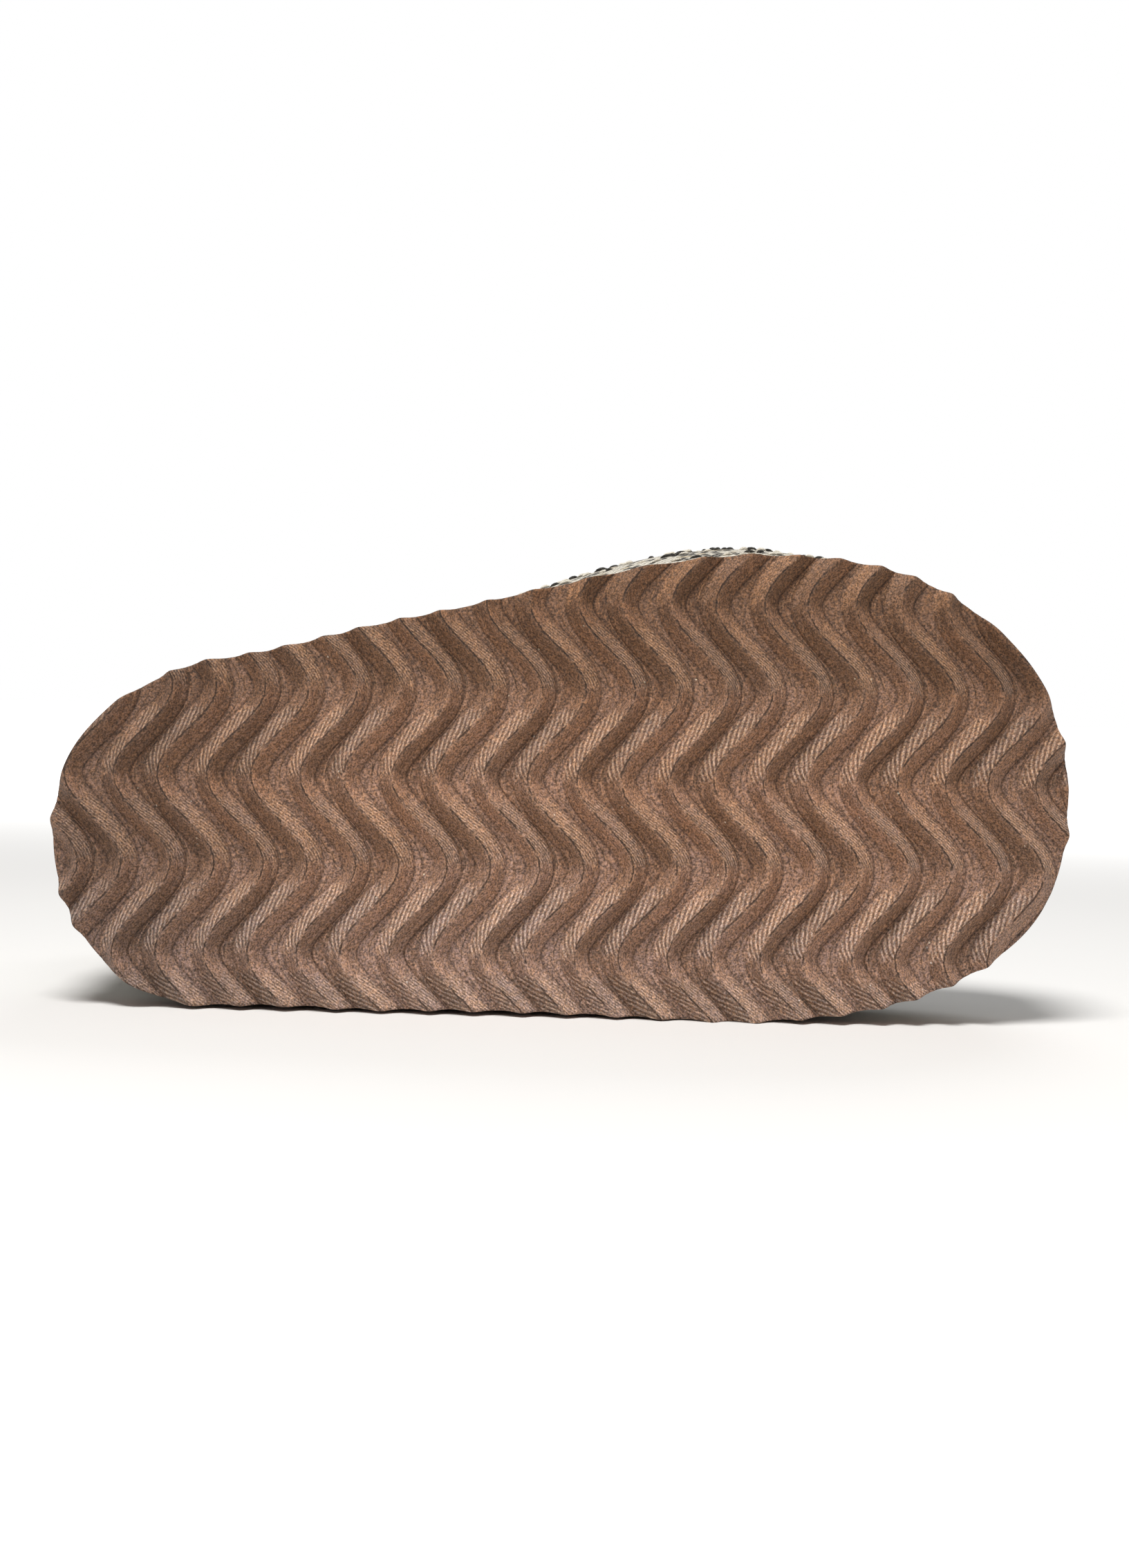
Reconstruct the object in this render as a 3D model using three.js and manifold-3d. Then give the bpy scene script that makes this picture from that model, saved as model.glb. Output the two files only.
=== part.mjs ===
// A child's pull-on ankle bootie for the right foot, lying on the inner side of the foot.
// Lengths are in millimetres. The toe points along +X, the tread faces -Y and +Z is up.
// The shoe is first drawn in its own frame and is then laid down:
//   along   from the back of the heel (0) to the tip of the toe
//   across  from the outer side of the foot (negative) to the inner side (positive)
//   up      from the crests of the tread ribs (0) towards the collar
import * as THREE from 'three';
import { mergeVertices } from 'three/addons/utils/BufferGeometryUtils.js';
import Module from 'manifold-3d';

const wasm = await Module();
wasm.setup();

// Sole.
const soleLength = 165;
const heelSeatWidth = 56;
const ballWidth = 75.5;
const foamThickness = 5.6; // from the valleys of the tread to the foot, under the ball
const heelRise = 2.6; // extra foam under the heel
const toeSpring = 3.4; // lift of the tread at the tip of the toe
const topEdgeInset = 0.7; // the sole's top edge stands this far inside its tread edge

// Tread: wavy ribs that run across the sole, a narrow one and a wide one in turn.
const ribHeight = 2.4;
const ribPitch = 14.93; // from one wide rib to the next
const ribOffset = 7.9; // from a wide rib to the narrow one in front of it
const wavePeriod = 28.6;
const waveSwing = 4.61; // a rib swings this far to each side of its own middle line
const wideRibBase = 4.9;
const narrowRibBase = 4.4;
const ribCrest = 1.9;
const treadTurn = -0.62; // degrees that the whole tread is turned on the sole
const treadShift = 0.194; // where a wide rib turns back, as a share of the length
const treadSide = 0.15; // and how far that is towards the outer side, as a share of the ball width

// Upper.
const toeBoxHeight = 31; // above the sole's top, at the front of the toe box
const instepHeight = 59; // above the sole's top, where the foot bends into the leg
const shaftHeight = 93; // above the sole's top, at the collar
const collarLength = 72;
const collarWidth = 54;
const upperWall = 2.4;
const ballBulge = 4.2; // how far the little toe's joint pushes the upper outwards
const featherStep = 0.2; // the upper's lower edge stands this far inside the sole's top edge
const hemHeight = 10; // turned hem around the collar
const hemStep = 0.6; // and how far it stands proud of the wall
const rimRound = 0.2; // rounding of the collar's edge, as a share of the wall

// Insole.
const insoleThickness = 2.2;

// Clearances.
const seatGap = 0.3; // between any two pieces that meet
const ribRoot = 0.8; // how far a rib's solid reaches into the foam that it is part of

// Facets.
const outlineSteps = 26; // along each side of the foot
const ringSteps = 2 * outlineSteps;
const ringsPerRow = 2;
const stepsPerWave = 10;

// Places along the sole, as shares of its length.
const heelSeatAt = 0.16;
const heelRiseEnds = 0.3;
const flatFootFrom = 0.62;
const ballAt = 0.7;
const springFrom = 0.74;
const bulgeFrom = 0.28;
const bulgeTo = 0.88;

// Rounding of the plan's ends and of the shaft: 2 is an ellipse, more is blunter.
const heelRound = 0.16; // share of the length over which the heel is rounded off
const toeRound = 0.25;
const heelFullness = 2;
const toeFullness = 2.2;
const legFullness = 2.3;

// The sole's plan. half is a share of the local width. bend is how far the middle line lies towards
// the outer side, as a share of the ball width.
const solePlan = [
  { along: 0.0, half: 0.496, bend: 0.019 },
  { along: 0.08, half: 0.49, bend: 0.013 },
  { along: 0.16, half: 0.501, bend: 0.026 },
  { along: 0.3, half: 0.521, bend: 0.063 },
  { along: 0.4, half: 0.51, bend: 0.09 },
  { along: 0.5, half: 0.501, bend: 0.117 },
  { along: 0.6, half: 0.5, bend: 0.139 },
  { along: 0.7, half: 0.5, bend: 0.149 },
  { along: 0.8, half: 0.484, bend: 0.154 },
  { along: 0.88, half: 0.474, bend: 0.15 },
  { along: 0.94, half: 0.47, bend: 0.137 },
  { along: 1.0, half: 0.49, bend: 0.121 },
];
const legBend = 0.055; // the bend of the shaft's middle line

// The upper's sections, evenly spaced from the sole to the collar. Each is a ring around the foot.
//   back             its back end, as a share of the sole's length
//   reach            its front end: 0 at the front of the shaft, 1 at the tip of the toe
//   backUp           height at the heel, as a share of the shaft height
//   toe, vamp, shin  height at the front: shares of the toe box, of what rises from there to the
//                    instep, and of what rises from there to the collar
//   outer, inner     half widths, as shares of the plan's
//   leg              from the plan of the sole (0) to the oval of the shaft (1)
//   bulge            share of the ball's bulge
const upperRings = [
  { back: 0, reach: 1, backUp: 0, toe: 0, vamp: 0, shin: 0, outer: 1, inner: 1, leg: 0, bulge: 0 },
  { back: -0.004, reach: 1.01, backUp: 0.09, toe: 0.3, vamp: 0, shin: 0, outer: 1, inner: 0.985, leg: 0, bulge: 0.95 },
  { back: -0.007, reach: 0.996, backUp: 0.19, toe: 0.58, vamp: 0, shin: 0, outer: 0.985, inner: 0.965, leg: 0.02, bulge: 1 },
  { back: -0.003, reach: 0.929, backUp: 0.29, toe: 0.83, vamp: 0, shin: 0, outer: 0.95, inner: 0.93, leg: 0.06, bulge: 0.7 },
  { back: 0.006, reach: 0.763, backUp: 0.38, toe: 1, vamp: 0.06, shin: 0, outer: 0.905, inner: 0.885, leg: 0.18, bulge: 0.25 },
  { back: 0.018, reach: 0.49, backUp: 0.49, toe: 1, vamp: 0.45, shin: 0, outer: 0.91, inner: 0.9, leg: 0.48, bulge: 0 },
  { back: 0.026, reach: 0.221, backUp: 0.62, toe: 1, vamp: 0.93, shin: 0.02, outer: 0.965, inner: 0.96, leg: 0.85, bulge: 0 },
  { back: 0.027, reach: 0.067, backUp: 0.76, toe: 1, vamp: 1, shin: 0.34, outer: 0.97, inner: 0.97, leg: 1, bulge: 0 },
  { back: 0.025, reach: 0.017, backUp: 0.88, toe: 1, vamp: 1, shin: 0.68, outer: 0.98, inner: 0.98, leg: 1, bulge: 0 },
  { back: 0.024, reach: 0, backUp: 1, toe: 1, vamp: 1, shin: 1, outer: 1, inner: 1, leg: 1, bulge: 0 },
].map((row, k) => ({ ...row, number: k }));

const soleThickness = ribHeight + foamThickness;
const featherInset = topEdgeInset + featherStep;
const collarBack = upperRings.at(-1).back * soleLength;
const shaftFront = collarBack + collarLength;
const levelsPerRow = 1 / (upperRings.length - 1);

function smooth(value, low, high) {
  const t = Math.min(Math.max((value - low) / (high - low), 0), 1);
  return t * t * (3 - 2 * t);
}

// A smooth curve through one column of a table, with its rows at the values of another column.
function lookUp(table, key, column, value) {
  let k = 0;
  while (k < table.length - 2 && value > table[k + 1][key]) k += 1;
  const before = table[Math.max(k - 1, 0)];
  const low = table[k];
  const high = table[k + 1];
  const after = table[Math.min(k + 2, table.length - 1)];
  const span = high[key] - low[key];
  const t = (value - low[key]) / span;
  const slopeLow = (span * (high[column] - before[column])) / (high[key] - before[key]);
  const slopeHigh = (span * (after[column] - low[column])) / (after[key] - low[key]);
  const t2 = t * t;
  const t3 = t2 * t;
  return (
    (2 * t3 - 3 * t2 + 1) * low[column] +
    (t3 - 2 * t2 + t) * slopeLow +
    (3 * t2 - 2 * t3) * high[column] +
    (t3 - t2) * slopeHigh
  );
}

// How much of the full width is left near a rounded end.
function roundEnd(distance, length, fullness) {
  if (distance >= length) return 1;
  const t = 1 - Math.max(distance, 0) / length;
  return Math.pow(Math.max(1 - Math.pow(t, fullness), 0), 1 / fullness);
}

function planHalf(share) {
  const width = heelSeatWidth + (ballWidth - heelSeatWidth) * smooth(share, heelSeatAt, ballAt);
  const ends = roundEnd(share, heelRound, heelFullness) * roundEnd(1 - share, toeRound, toeFullness);
  return width * lookUp(solePlan, 'along', 'half', share) * ends;
}

function planCentre(share) {
  return -ballWidth * lookUp(solePlan, 'along', 'bend', share);
}

// Point of the sole's plan, moved inwards. turn goes once around, from the back of the heel over the
// outer side to the tip of the toe at half a circle.
function planPoint(turn, inset) {
  const edge = (angle) => {
    const share = (1 - Math.cos(angle)) / 2;
    const side = Math.sin(angle) >= 0 ? -1 : 1;
    return [share * soleLength, planCentre(share) + side * planHalf(share)];
  };
  const small = 2e-3;
  const [x, y] = edge(turn);
  const [aheadX, aheadY] = edge(turn + small);
  const [behindX, behindY] = edge(turn - small);
  const length = Math.hypot(aheadX - behindX, aheadY - behindY);
  return [x - (inset * (aheadY - behindY)) / length, y + (inset * (aheadX - behindX)) / length];
}

function springAt(along) {
  const t = Math.max((along / soleLength - springFrom) / (1 - springFrom), 0);
  return toeSpring * t * t;
}

function soleTop(along) {
  const share = along / soleLength;
  return soleThickness + heelRise * (1 - smooth(share, heelRiseEnds, flatFootFrom)) + springAt(along);
}

function geometryFrom(points, faces) {
  const geometry = new THREE.BufferGeometry();
  geometry.setAttribute('position', new THREE.Float32BufferAttribute(points.flat(), 3));
  geometry.setIndex(faces.flat());
  return geometry;
}

function quad(faces, a, b, c, d) {
  faces.push([a, b, c], [a, c, d]);
}

// Faces between two rings of as many points, which start at these places in the list of points.
function bandBetween(faces, from, to, count) {
  for (let k = 0; k < count; k += 1) {
    const next = (k + 1) % count;
    quad(faces, from + k, from + next, to + next, to + k);
  }
}

// A slab that follows the sole's plan, with its under side and top given as functions of along.
function slab(insetBelow, insetAbove, under, top) {
  const points = [];
  const faces = [];
  const add = (turn, inset, height) => {
    const [along, across] = planPoint(turn, inset);
    points.push([along, across, height(along)]);
  };
  for (let k = 1; k < outlineSteps; k += 1) {
    const turn = (Math.PI * k) / outlineSteps;
    add(turn, insetBelow, under);
    add(-turn, insetBelow, under);
    add(turn, insetAbove, top);
    add(-turn, insetAbove, top);
  }
  const last = 4 * (outlineSteps - 2);
  for (let at = 0; at < last; at += 4) {
    quad(faces, at, at + 1, at + 5, at + 4);
    quad(faces, at + 2, at + 6, at + 7, at + 3);
    quad(faces, at, at + 4, at + 6, at + 2);
    quad(faces, at + 1, at + 3, at + 7, at + 5);
  }
  const heel = points.length;
  const toe = heel + 2;
  add(0, insetBelow, under);
  add(0, insetAbove, top);
  add(Math.PI, insetBelow, under);
  add(Math.PI, insetAbove, top);
  faces.push([heel, 1, 0], [heel + 1, 2, 3], [toe, last, last + 1], [toe + 1, last + 3, last + 2]);
  quad(faces, heel, 0, 2, heel + 1);
  quad(faces, heel, heel + 1, 3, 1);
  quad(faces, toe, toe + 1, last + 2, last);
  quad(faces, toe, last + 1, last + 3, toe + 1);
  return geometryFrom(points, faces);
}

function toSolid(geometry) {
  const merged = mergeVertices(geometry, 1e-4);
  const mesh = new wasm.Mesh({
    numProp: 3,
    vertProperties: Float32Array.from(merged.attributes.position.array),
    triVerts: Uint32Array.from(merged.index.array),
  });
  return new wasm.Manifold(mesh);
}

function toGeometry(solid) {
  const mesh = solid.getMesh();
  const geometry = new THREE.BufferGeometry();
  geometry.setAttribute('position', new THREE.BufferAttribute(Float32Array.from(mesh.vertProperties), 3));
  geometry.setIndex(new THREE.BufferAttribute(Uint32Array.from(mesh.triVerts), 1));
  return geometry;
}

// One wavy rib: a trapezoid carried along a cosine that runs across the sole.
function ribGeometry(middle, base) {
  const turn = THREE.MathUtils.degToRad(treadTurn);
  const reach = ballWidth;
  const steps = Math.ceil((2 * reach * stepsPerWave) / wavePeriod);
  const points = [];
  const faces = [];
  const place = (p, q, height) => {
    const along = treadShift * soleLength + waveSwing + p * Math.cos(turn) - q * Math.sin(turn);
    const across = -treadSide * ballWidth + p * Math.sin(turn) + q * Math.cos(turn);
    points.push([along, across, height + springAt(along)]);
  };
  for (let k = 0; k <= steps; k += 1) {
    const q = (k - steps / 2) * (wavePeriod / stepsPerWave);
    const phase = (2 * Math.PI * q) / wavePeriod;
    const p = middle - waveSwing * Math.cos(phase);
    const slope = (waveSwing * 2 * Math.PI * Math.sin(phase)) / wavePeriod;
    const length = Math.hypot(1, slope);
    const side = [1 / length, -slope / length];
    const offsets = [
      [-base / 2, ribHeight + ribRoot],
      [base / 2, ribHeight + ribRoot],
      [base / 2, ribHeight],
      [ribCrest / 2, 0],
      [-ribCrest / 2, 0],
      [-base / 2, ribHeight],
    ];
    for (const [offset, height] of offsets) {
      place(p + side[0] * offset, q + side[1] * offset, height);
    }
    if (k > 0) bandBetween(faces, 6 * (k - 1), 6 * k, 6);
  }
  const end = 6 * steps;
  for (let k = 1; k < 5; k += 1) {
    faces.push([0, k + 1, k], [end, end + k, end + k + 1]);
  }
  return geometryFrom(points, faces);
}

function outsoleGeometry() {
  const foam = slab(0, topEdgeInset, (along) => ribHeight + springAt(along), soleTop);
  const trim = slab(0, 0, (along) => springAt(along) - ribHeight, (along) => springAt(along) + soleThickness);
  const trimSolid = toSolid(trim);
  let sole = toSolid(foam);
  const before = Math.ceil((treadShift * soleLength) / ribPitch) + 1;
  const after = Math.ceil(((1 - treadShift) * soleLength) / ribPitch) + 1;
  for (let k = -before; k <= after; k += 1) {
    for (const [middle, base] of [
      [k * ribPitch, wideRibBase],
      [k * ribPitch + ribOffset, narrowRibBase],
    ]) {
      const rib = toSolid(ribGeometry(middle, base)).intersect(trimSolid);
      if (!rib.isEmpty()) sole = sole.add(rib);
    }
  }
  return toGeometry(sole);
}

// Point on the outside of the upper. level runs from 0 at the sole to 1 at the collar, and turn goes
// once around as it does on the sole's plan.
function upperPoint(level, turn) {
  const at = (column) => lookUp(upperRings, 'number', column, level / levelsPerRow);
  const [footAlong, footAcross] = planPoint(turn, featherInset);
  const share = footAlong / soleLength;
  const back = at('back') * soleLength;
  const front = shaftFront + at('reach') * (soleLength - shaftFront);
  const along = back + (front - back) * share;

  const leg = Math.min(Math.max(at('leg'), 0), 1);
  const outerSide = Math.sin(turn) >= 0;
  const legHalf = (collarWidth / 2) * Math.pow(Math.abs(Math.sin(turn)), 2 / legFullness);
  const footHalf = Math.abs(footAcross - planCentre(share));
  const half = at(outerSide ? 'outer' : 'inner') * (footHalf * (1 - leg) + legHalf * leg);
  const bulgeShare = Math.min(Math.max((share - bulgeFrom) / (bulgeTo - bulgeFrom), 0), 1);
  const bulge = outerSide ? ballBulge * at('bulge') * Math.sin(Math.PI * bulgeShare) ** 2 : 0;
  const centre = planCentre(share) * (1 - leg) - legBend * ballWidth * leg;
  const across = centre + (outerSide ? -1 : 1) * (half + bulge);

  const backUp = shaftHeight * at('backUp');
  const vampUp = (instepHeight - toeBoxHeight) * at('vamp');
  const shinUp = (shaftHeight - instepHeight) * at('shin');
  const frontUp = toeBoxHeight * at('toe') + vampUp + shinUp;
  const ground = soleTop(Math.min(Math.max(along, 0), soleLength)) + seatGap;
  return new THREE.Vector3(along, across, ground + backUp + (frontUp - backUp) * smooth(share, 0, 1));
}

function upperNormal(level, turn) {
  const small = 1e-3;
  const around = upperPoint(level, turn + small).sub(upperPoint(level, turn - small));
  const low = Math.max(level - small, 0);
  const high = Math.min(level + small, 1);
  const rising = upperPoint(high, turn).sub(upperPoint(low, turn));
  return around.cross(rising).normalize();
}

// A ring of the upper, moved along its normals: inwards for the lining, outwards for the hem. The
// lowest and highest rings move level, so that both edges of the wall stay flat.
function upperRing(level, offset, lift) {
  const ring = [];
  for (let k = 0; k < ringSteps; k += 1) {
    const turn = (2 * Math.PI * k) / ringSteps;
    const point = upperPoint(level, turn);
    const normal = upperNormal(level, turn);
    if (level === 0 || level === 1) normal.setZ(0).normalize();
    point.addScaledVector(normal, offset);
    ring.push([point.x, point.y, point.z + lift]);
  }
  return ring;
}

function upperGeometry() {
  const collarRise = shaftHeight * (upperRings.at(-1).backUp - upperRings.at(-2).backUp);
  const hemLevel = 1 - (hemHeight / collarRise) * levelsPerRow;
  const hemEdge = 0.04 * levelsPerRow;
  const count = ringsPerRow / levelsPerRow;
  const below = [];
  for (let k = 0; k / count < hemLevel - hemEdge; k += 1) below.push(k / count);
  const rim = rimRound * upperWall;
  const rings = [
    ...below.map((level) => upperRing(level, 0, 0)),
    upperRing(hemLevel, 0, 0),
    upperRing(hemLevel + hemEdge, hemStep, 0),
    upperRing((hemLevel + 1) / 2, hemStep, 0),
    upperRing(1, hemStep, -hemStep),
    upperRing(1, -rim, rim),
    upperRing(1, rim - upperWall, rim),
    upperRing(1, -upperWall, -hemStep),
    upperRing(hemLevel, -upperWall, 0),
    ...below.reverse().map((level) => upperRing(level, -upperWall, 0)),
  ];
  const faces = [];
  for (let k = 0; k < rings.length; k += 1) {
    const next = (k + 1) % rings.length;
    bandBetween(faces, k * ringSteps, next * ringSteps, ringSteps);
  }
  return geometryFrom(rings.flat(), faces);
}

// The insole lies on the sole's top, inside the upper's lower edge.
function insoleGeometry() {
  const inset = featherInset + upperWall + seatGap;
  const under = (along) => soleTop(along) + seatGap;
  return slab(inset, inset, under, (along) => under(along) + insoleThickness);
}

function piece(name, geometry, colour, roughness) {
  const material = new THREE.MeshStandardMaterial({ color: colour, roughness, metalness: 0 });
  const mesh = new THREE.Mesh(geometry, material);
  mesh.name = name;
  return mesh;
}

const shoe = new THREE.Group();
const outsole = piece('outsole', outsoleGeometry(), 0x886a58, 0.85);
const upper = piece('upper', upperGeometry(), 0xb9b0a0, 0.95);
const insole = piece('insole', insoleGeometry(), 0xd8cdb8, 0.95);
shoe.add(outsole, upper, insole);

// Lowest point of a piece when the shoe lies on its inner side and leans by an angle.
function lowest(mesh, lean) {
  const position = mesh.geometry.attributes.position;
  let low = Infinity;
  for (let k = 0; k < position.count; k += 1) {
    low = Math.min(low, -position.getY(k) * Math.cos(lean) - position.getZ(k) * Math.sin(lean));
  }
  return low;
}

// The shoe leans until the sole's edge and the upper both touch the floor.
const mostLean = THREE.MathUtils.degToRad(20);
const halvings = 50;
let leanLow = -mostLean;
let leanHigh = mostLean;
for (let k = 0; k < halvings; k += 1) {
  const lean = (leanLow + leanHigh) / 2;
  if (lowest(upper, lean) > lowest(outsole, lean)) leanLow = lean;
  else leanHigh = lean;
}
shoe.rotation.x = -Math.PI / 2 - leanLow;

const part = new THREE.Group();
part.add(shoe);
part.updateMatrixWorld(true);
const box = new THREE.Box3().setFromObject(part, true);
shoe.position.set(-(box.min.x + box.max.x) / 2, -(box.min.y + box.max.y) / 2, -box.min.z);

export default part;
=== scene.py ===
"""The looks of a small pull-on ankle bootie: a foam outsole with wavy ribs, a tweed upper and a
fleece insole. The shoe lies on its inner side and its tread faces the camera.

Lengths are in metres. Pieces are drawn in the shoe's own frame and are then laid down:
  along   from the back of the heel (0) to the tip of the toe
  across  from the outer side of the foot (negative) to the inner side (positive)
  up      from the crests of the tread ribs (0) towards the collar
"""
import math

import bpy
import numpy as np
from bpy.props import FloatProperty, FloatVectorProperty, PointerProperty
from mathutils import Matrix, Vector
from mathutils.geometry import delaunay_2d_cdt


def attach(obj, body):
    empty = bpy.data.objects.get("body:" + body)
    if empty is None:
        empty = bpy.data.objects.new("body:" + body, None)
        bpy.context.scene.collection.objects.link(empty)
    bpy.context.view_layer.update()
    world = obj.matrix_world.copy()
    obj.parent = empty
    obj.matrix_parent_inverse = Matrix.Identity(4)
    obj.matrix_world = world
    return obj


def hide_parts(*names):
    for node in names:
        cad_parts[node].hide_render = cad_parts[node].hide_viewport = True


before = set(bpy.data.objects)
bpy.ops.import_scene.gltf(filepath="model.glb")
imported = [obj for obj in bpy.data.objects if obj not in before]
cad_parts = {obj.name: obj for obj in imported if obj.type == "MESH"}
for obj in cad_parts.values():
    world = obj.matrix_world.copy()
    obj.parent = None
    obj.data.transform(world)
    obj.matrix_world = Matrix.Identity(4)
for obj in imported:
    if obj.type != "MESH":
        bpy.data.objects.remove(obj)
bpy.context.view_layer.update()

bl_info = {
    "name": "Ankle bootie",
    "version": (1, 0, 0),
    "blender": (4, 5, 0),
    "location": "View3D > Sidebar > Bootie",
    "description": "Builds the outsole, upper, insole and yarns of a small ankle bootie",
    "category": "Add Mesh",
}

MM = 0.001

# Where the shoe's own origin lies once it is laid down, and how far the shoe leans.
SHOE_ORIGIN = (-0.0823747, -0.0522285, 0.0267472)
SHOE_LEAN = math.radians(1.83719)

# The sole's plan. half is a share of the local width, and bend is how far the middle line lies
# towards the outer side, as a share of the ball width.
SOLE_PLAN = {
    "along": (0, 0.08, 0.16, 0.3, 0.4, 0.5, 0.6, 0.7, 0.8, 0.88, 0.94, 1),
    "half": (0.496, 0.49, 0.501, 0.521, 0.51, 0.501, 0.5, 0.5, 0.484, 0.474, 0.47, 0.49),
    "bend": (0.019, 0.013, 0.026, 0.063, 0.09, 0.117, 0.139, 0.149, 0.154, 0.15, 0.137, 0.121),
}
HEEL_SEAT_AT = 0.16
BALL_AT = 0.7
HEEL_RISE_ENDS = 0.3
FLAT_FOOT_FROM = 0.62
SPRING_FROM = 0.74
HEEL_ROUND = 0.16
TOE_ROUND = 0.25
HEEL_FULLNESS = 2.0
TOE_FULLNESS = 2.2

# The upper's sections, evenly spaced from the sole to the collar. back is a share of the sole's
# length, reach runs from the front of the shaft (0) to the tip of the toe (1), back_up, toe, vamp
# and shin are shares of the heights, outer and inner of the plan's half widths, leg runs from the
# plan of the sole to the oval of the shaft, and bulge is the share of the ball's bulge.
UPPER_RINGS = {
    "back": (0, -0.004, -0.007, -0.003, 0.006, 0.018, 0.026, 0.027, 0.025, 0.024),
    "reach": (1, 1.01, 0.996, 0.929, 0.763, 0.49, 0.221, 0.067, 0.017, 0),
    "back_up": (0, 0.09, 0.19, 0.29, 0.38, 0.49, 0.62, 0.76, 0.88, 1),
    "toe": (0, 0.3, 0.58, 0.83, 1, 1, 1, 1, 1, 1),
    "vamp": (0, 0, 0, 0, 0.06, 0.45, 0.93, 1, 1, 1),
    "shin": (0, 0, 0, 0, 0, 0, 0.02, 0.34, 0.68, 1),
    "outer": (1, 1, 0.985, 0.95, 0.905, 0.91, 0.965, 0.97, 0.98, 1),
    "inner": (1, 0.985, 0.965, 0.93, 0.885, 0.9, 0.96, 0.97, 0.98, 1),
    "leg": (0, 0, 0.02, 0.06, 0.18, 0.48, 0.85, 1, 1, 1),
    "bulge": (0, 0.95, 1, 0.7, 0.25, 0, 0, 0, 0, 0),
}
RING_COUNT = len(UPPER_RINGS["back"])
BULGE_FROM = 0.28
BULGE_TO = 0.94


def length(name, metres, words):
    return FloatProperty(
        name=name, description=words, default=metres, unit="LENGTH", precision=5
    )


def share(name, value, words):
    return FloatProperty(name=name, description=words, default=value, precision=3)


def colour(name, value, words):
    return FloatVectorProperty(
        name=name, description=words, default=value, subtype="COLOR", min=0, max=1
    )


class SoleSizes(bpy.types.PropertyGroup):
    sole_length: length("Sole length", 0.165, "From the back of the heel to the tip of the toe")
    heel_width: length("Heel width", 0.056, "Width of the heel seat")
    ball_width: length("Ball width", 0.0755, "Width across the ball of the foot")
    foam: length("Foam thickness", 0.0056, "From the valleys of the tread to the foot")
    heel_rise: length("Heel rise", 0.0026, "Extra foam under the heel")
    toe_spring: length("Toe spring", 0.0034, "Lift of the tread at the tip of the toe")
    top_inset: length("Top inset", 0.0007, "How far the top edge stands inside the tread edge")
    scallop: length("Scallop", 0.0002, "How far a rib's end stands proud of the sole's edge")


class TreadSizes(bpy.types.PropertyGroup):
    rib_height: length("Rib height", 0.0024, "From the valleys to the crests")
    pitch: length("Pitch", 0.01493, "From one wide rib to the next")
    offset: length("Offset", 0.0079, "From a wide rib to the narrow one in front of it")
    wave: length("Wave", 0.0286, "Length of one wave of a rib")
    swing: length("Swing", 0.00461, "How far a rib swings to each side of its middle line")
    wide_base: length("Wide base", 0.0049, "Width of a wide rib at its foot")
    narrow_base: length("Narrow base", 0.0044, "Width of a narrow rib at its foot")
    turn: FloatProperty(
        name="Turn",
        description="Angle by which the whole tread is turned on the sole",
        default=math.radians(-0.62),
        unit="ROTATION",
    )
    shift: share("Shift", 0.194, "Where a wide rib turns back, as a share of the sole's length")
    side: share("Side", 0.15, "How far that is towards the outer side, of the ball width")


class UpperSizes(bpy.types.PropertyGroup):
    toe_box: length("Toe box", 0.031, "Height of the toe box above the sole")
    instep: length("Instep", 0.059, "Height of the bend between foot and leg")
    shaft: length("Shaft", 0.093, "Height of the collar above the sole")
    collar_length: length("Collar length", 0.072, "Length of the opening")
    collar_width: length("Collar width", 0.054, "Width of the opening")
    wall: length("Wall", 0.0024, "Thickness of the weave and its lining")
    ball_bulge: length("Ball bulge", 0.0037, "Bulge at the joint of the little toe")
    feather_step: length("Feather step", 0.0002, "Step from the sole's top edge to the upper")
    hem: length("Hem", 0.010, "Height of the turned hem")
    hem_step: length("Hem step", 0.0009, "How far the hem stands proud of the wall")
    gap: length("Seat gap", 0.0003, "Clearance between pieces that meet")
    leg_bend: share("Leg bend", 0.055, "Bend of the shaft's middle line, of the ball width")
    leg_fullness: share("Leg fullness", 2.3, "Roundness of the shaft: 2 is an ellipse")
    insole: length("Insole", 0.0022, "Thickness of the insole")


class Colours(bpy.types.PropertyGroup):
    foam: colour("Foam", (0.262, 0.157, 0.110), "The outsole's main colour")
    foam_brown: colour("Brown foam", (0.240, 0.136, 0.088), "Browner clouds in the foam")
    foam_mauve: colour("Mauve foam", (0.300, 0.190, 0.155), "Pinker clouds in the foam")
    # This colour is painted shade: it darkens the narrow valleys.
    foam_valley_shade: colour("Deep foam", (0.165, 0.088, 0.054), "The foam in narrow valleys")
    # This colour draws the real folds, hairlines and pleats, and also the painted shade along the foot of
    # each rib.
    foam_fold_and_shade: colour("Foam line", (0.045, 0.022, 0.012), "Folds and creases in the foam")
    foam_speck: colour("Foam speck", (0.72, 0.66, 0.58), "White specks of dust")
    yarn_light: colour("Light yarn", (0.88, 0.84, 0.74), "The cream yarn of the tweed")
    yarn_dark: colour("Dark yarn", (0.022, 0.020, 0.018), "The black yarn of the tweed")
    yarn_warm: colour("Warm yarn", (0.42, 0.33, 0.19), "The ochre flecks of the tweed")
    fleece: colour("Fleece", (0.74, 0.66, 0.53), "The insole and the lining")
    floor: colour("Floor", (0.86, 0.86, 0.85), "The floor")


class BootieSettings(bpy.types.PropertyGroup):
    sole: PointerProperty(type=SoleSizes)
    tread: PointerProperty(type=TreadSizes)
    upper: PointerProperty(type=UpperSizes)
    colours: PointerProperty(type=Colours)


def settings():
    return bpy.context.scene.bootie


# Curves of the shoe


def smooth(value, low, high):
    t = np.clip((value - low) / (high - low), 0, 1)
    return t * t * (3 - 2 * t)


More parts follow.
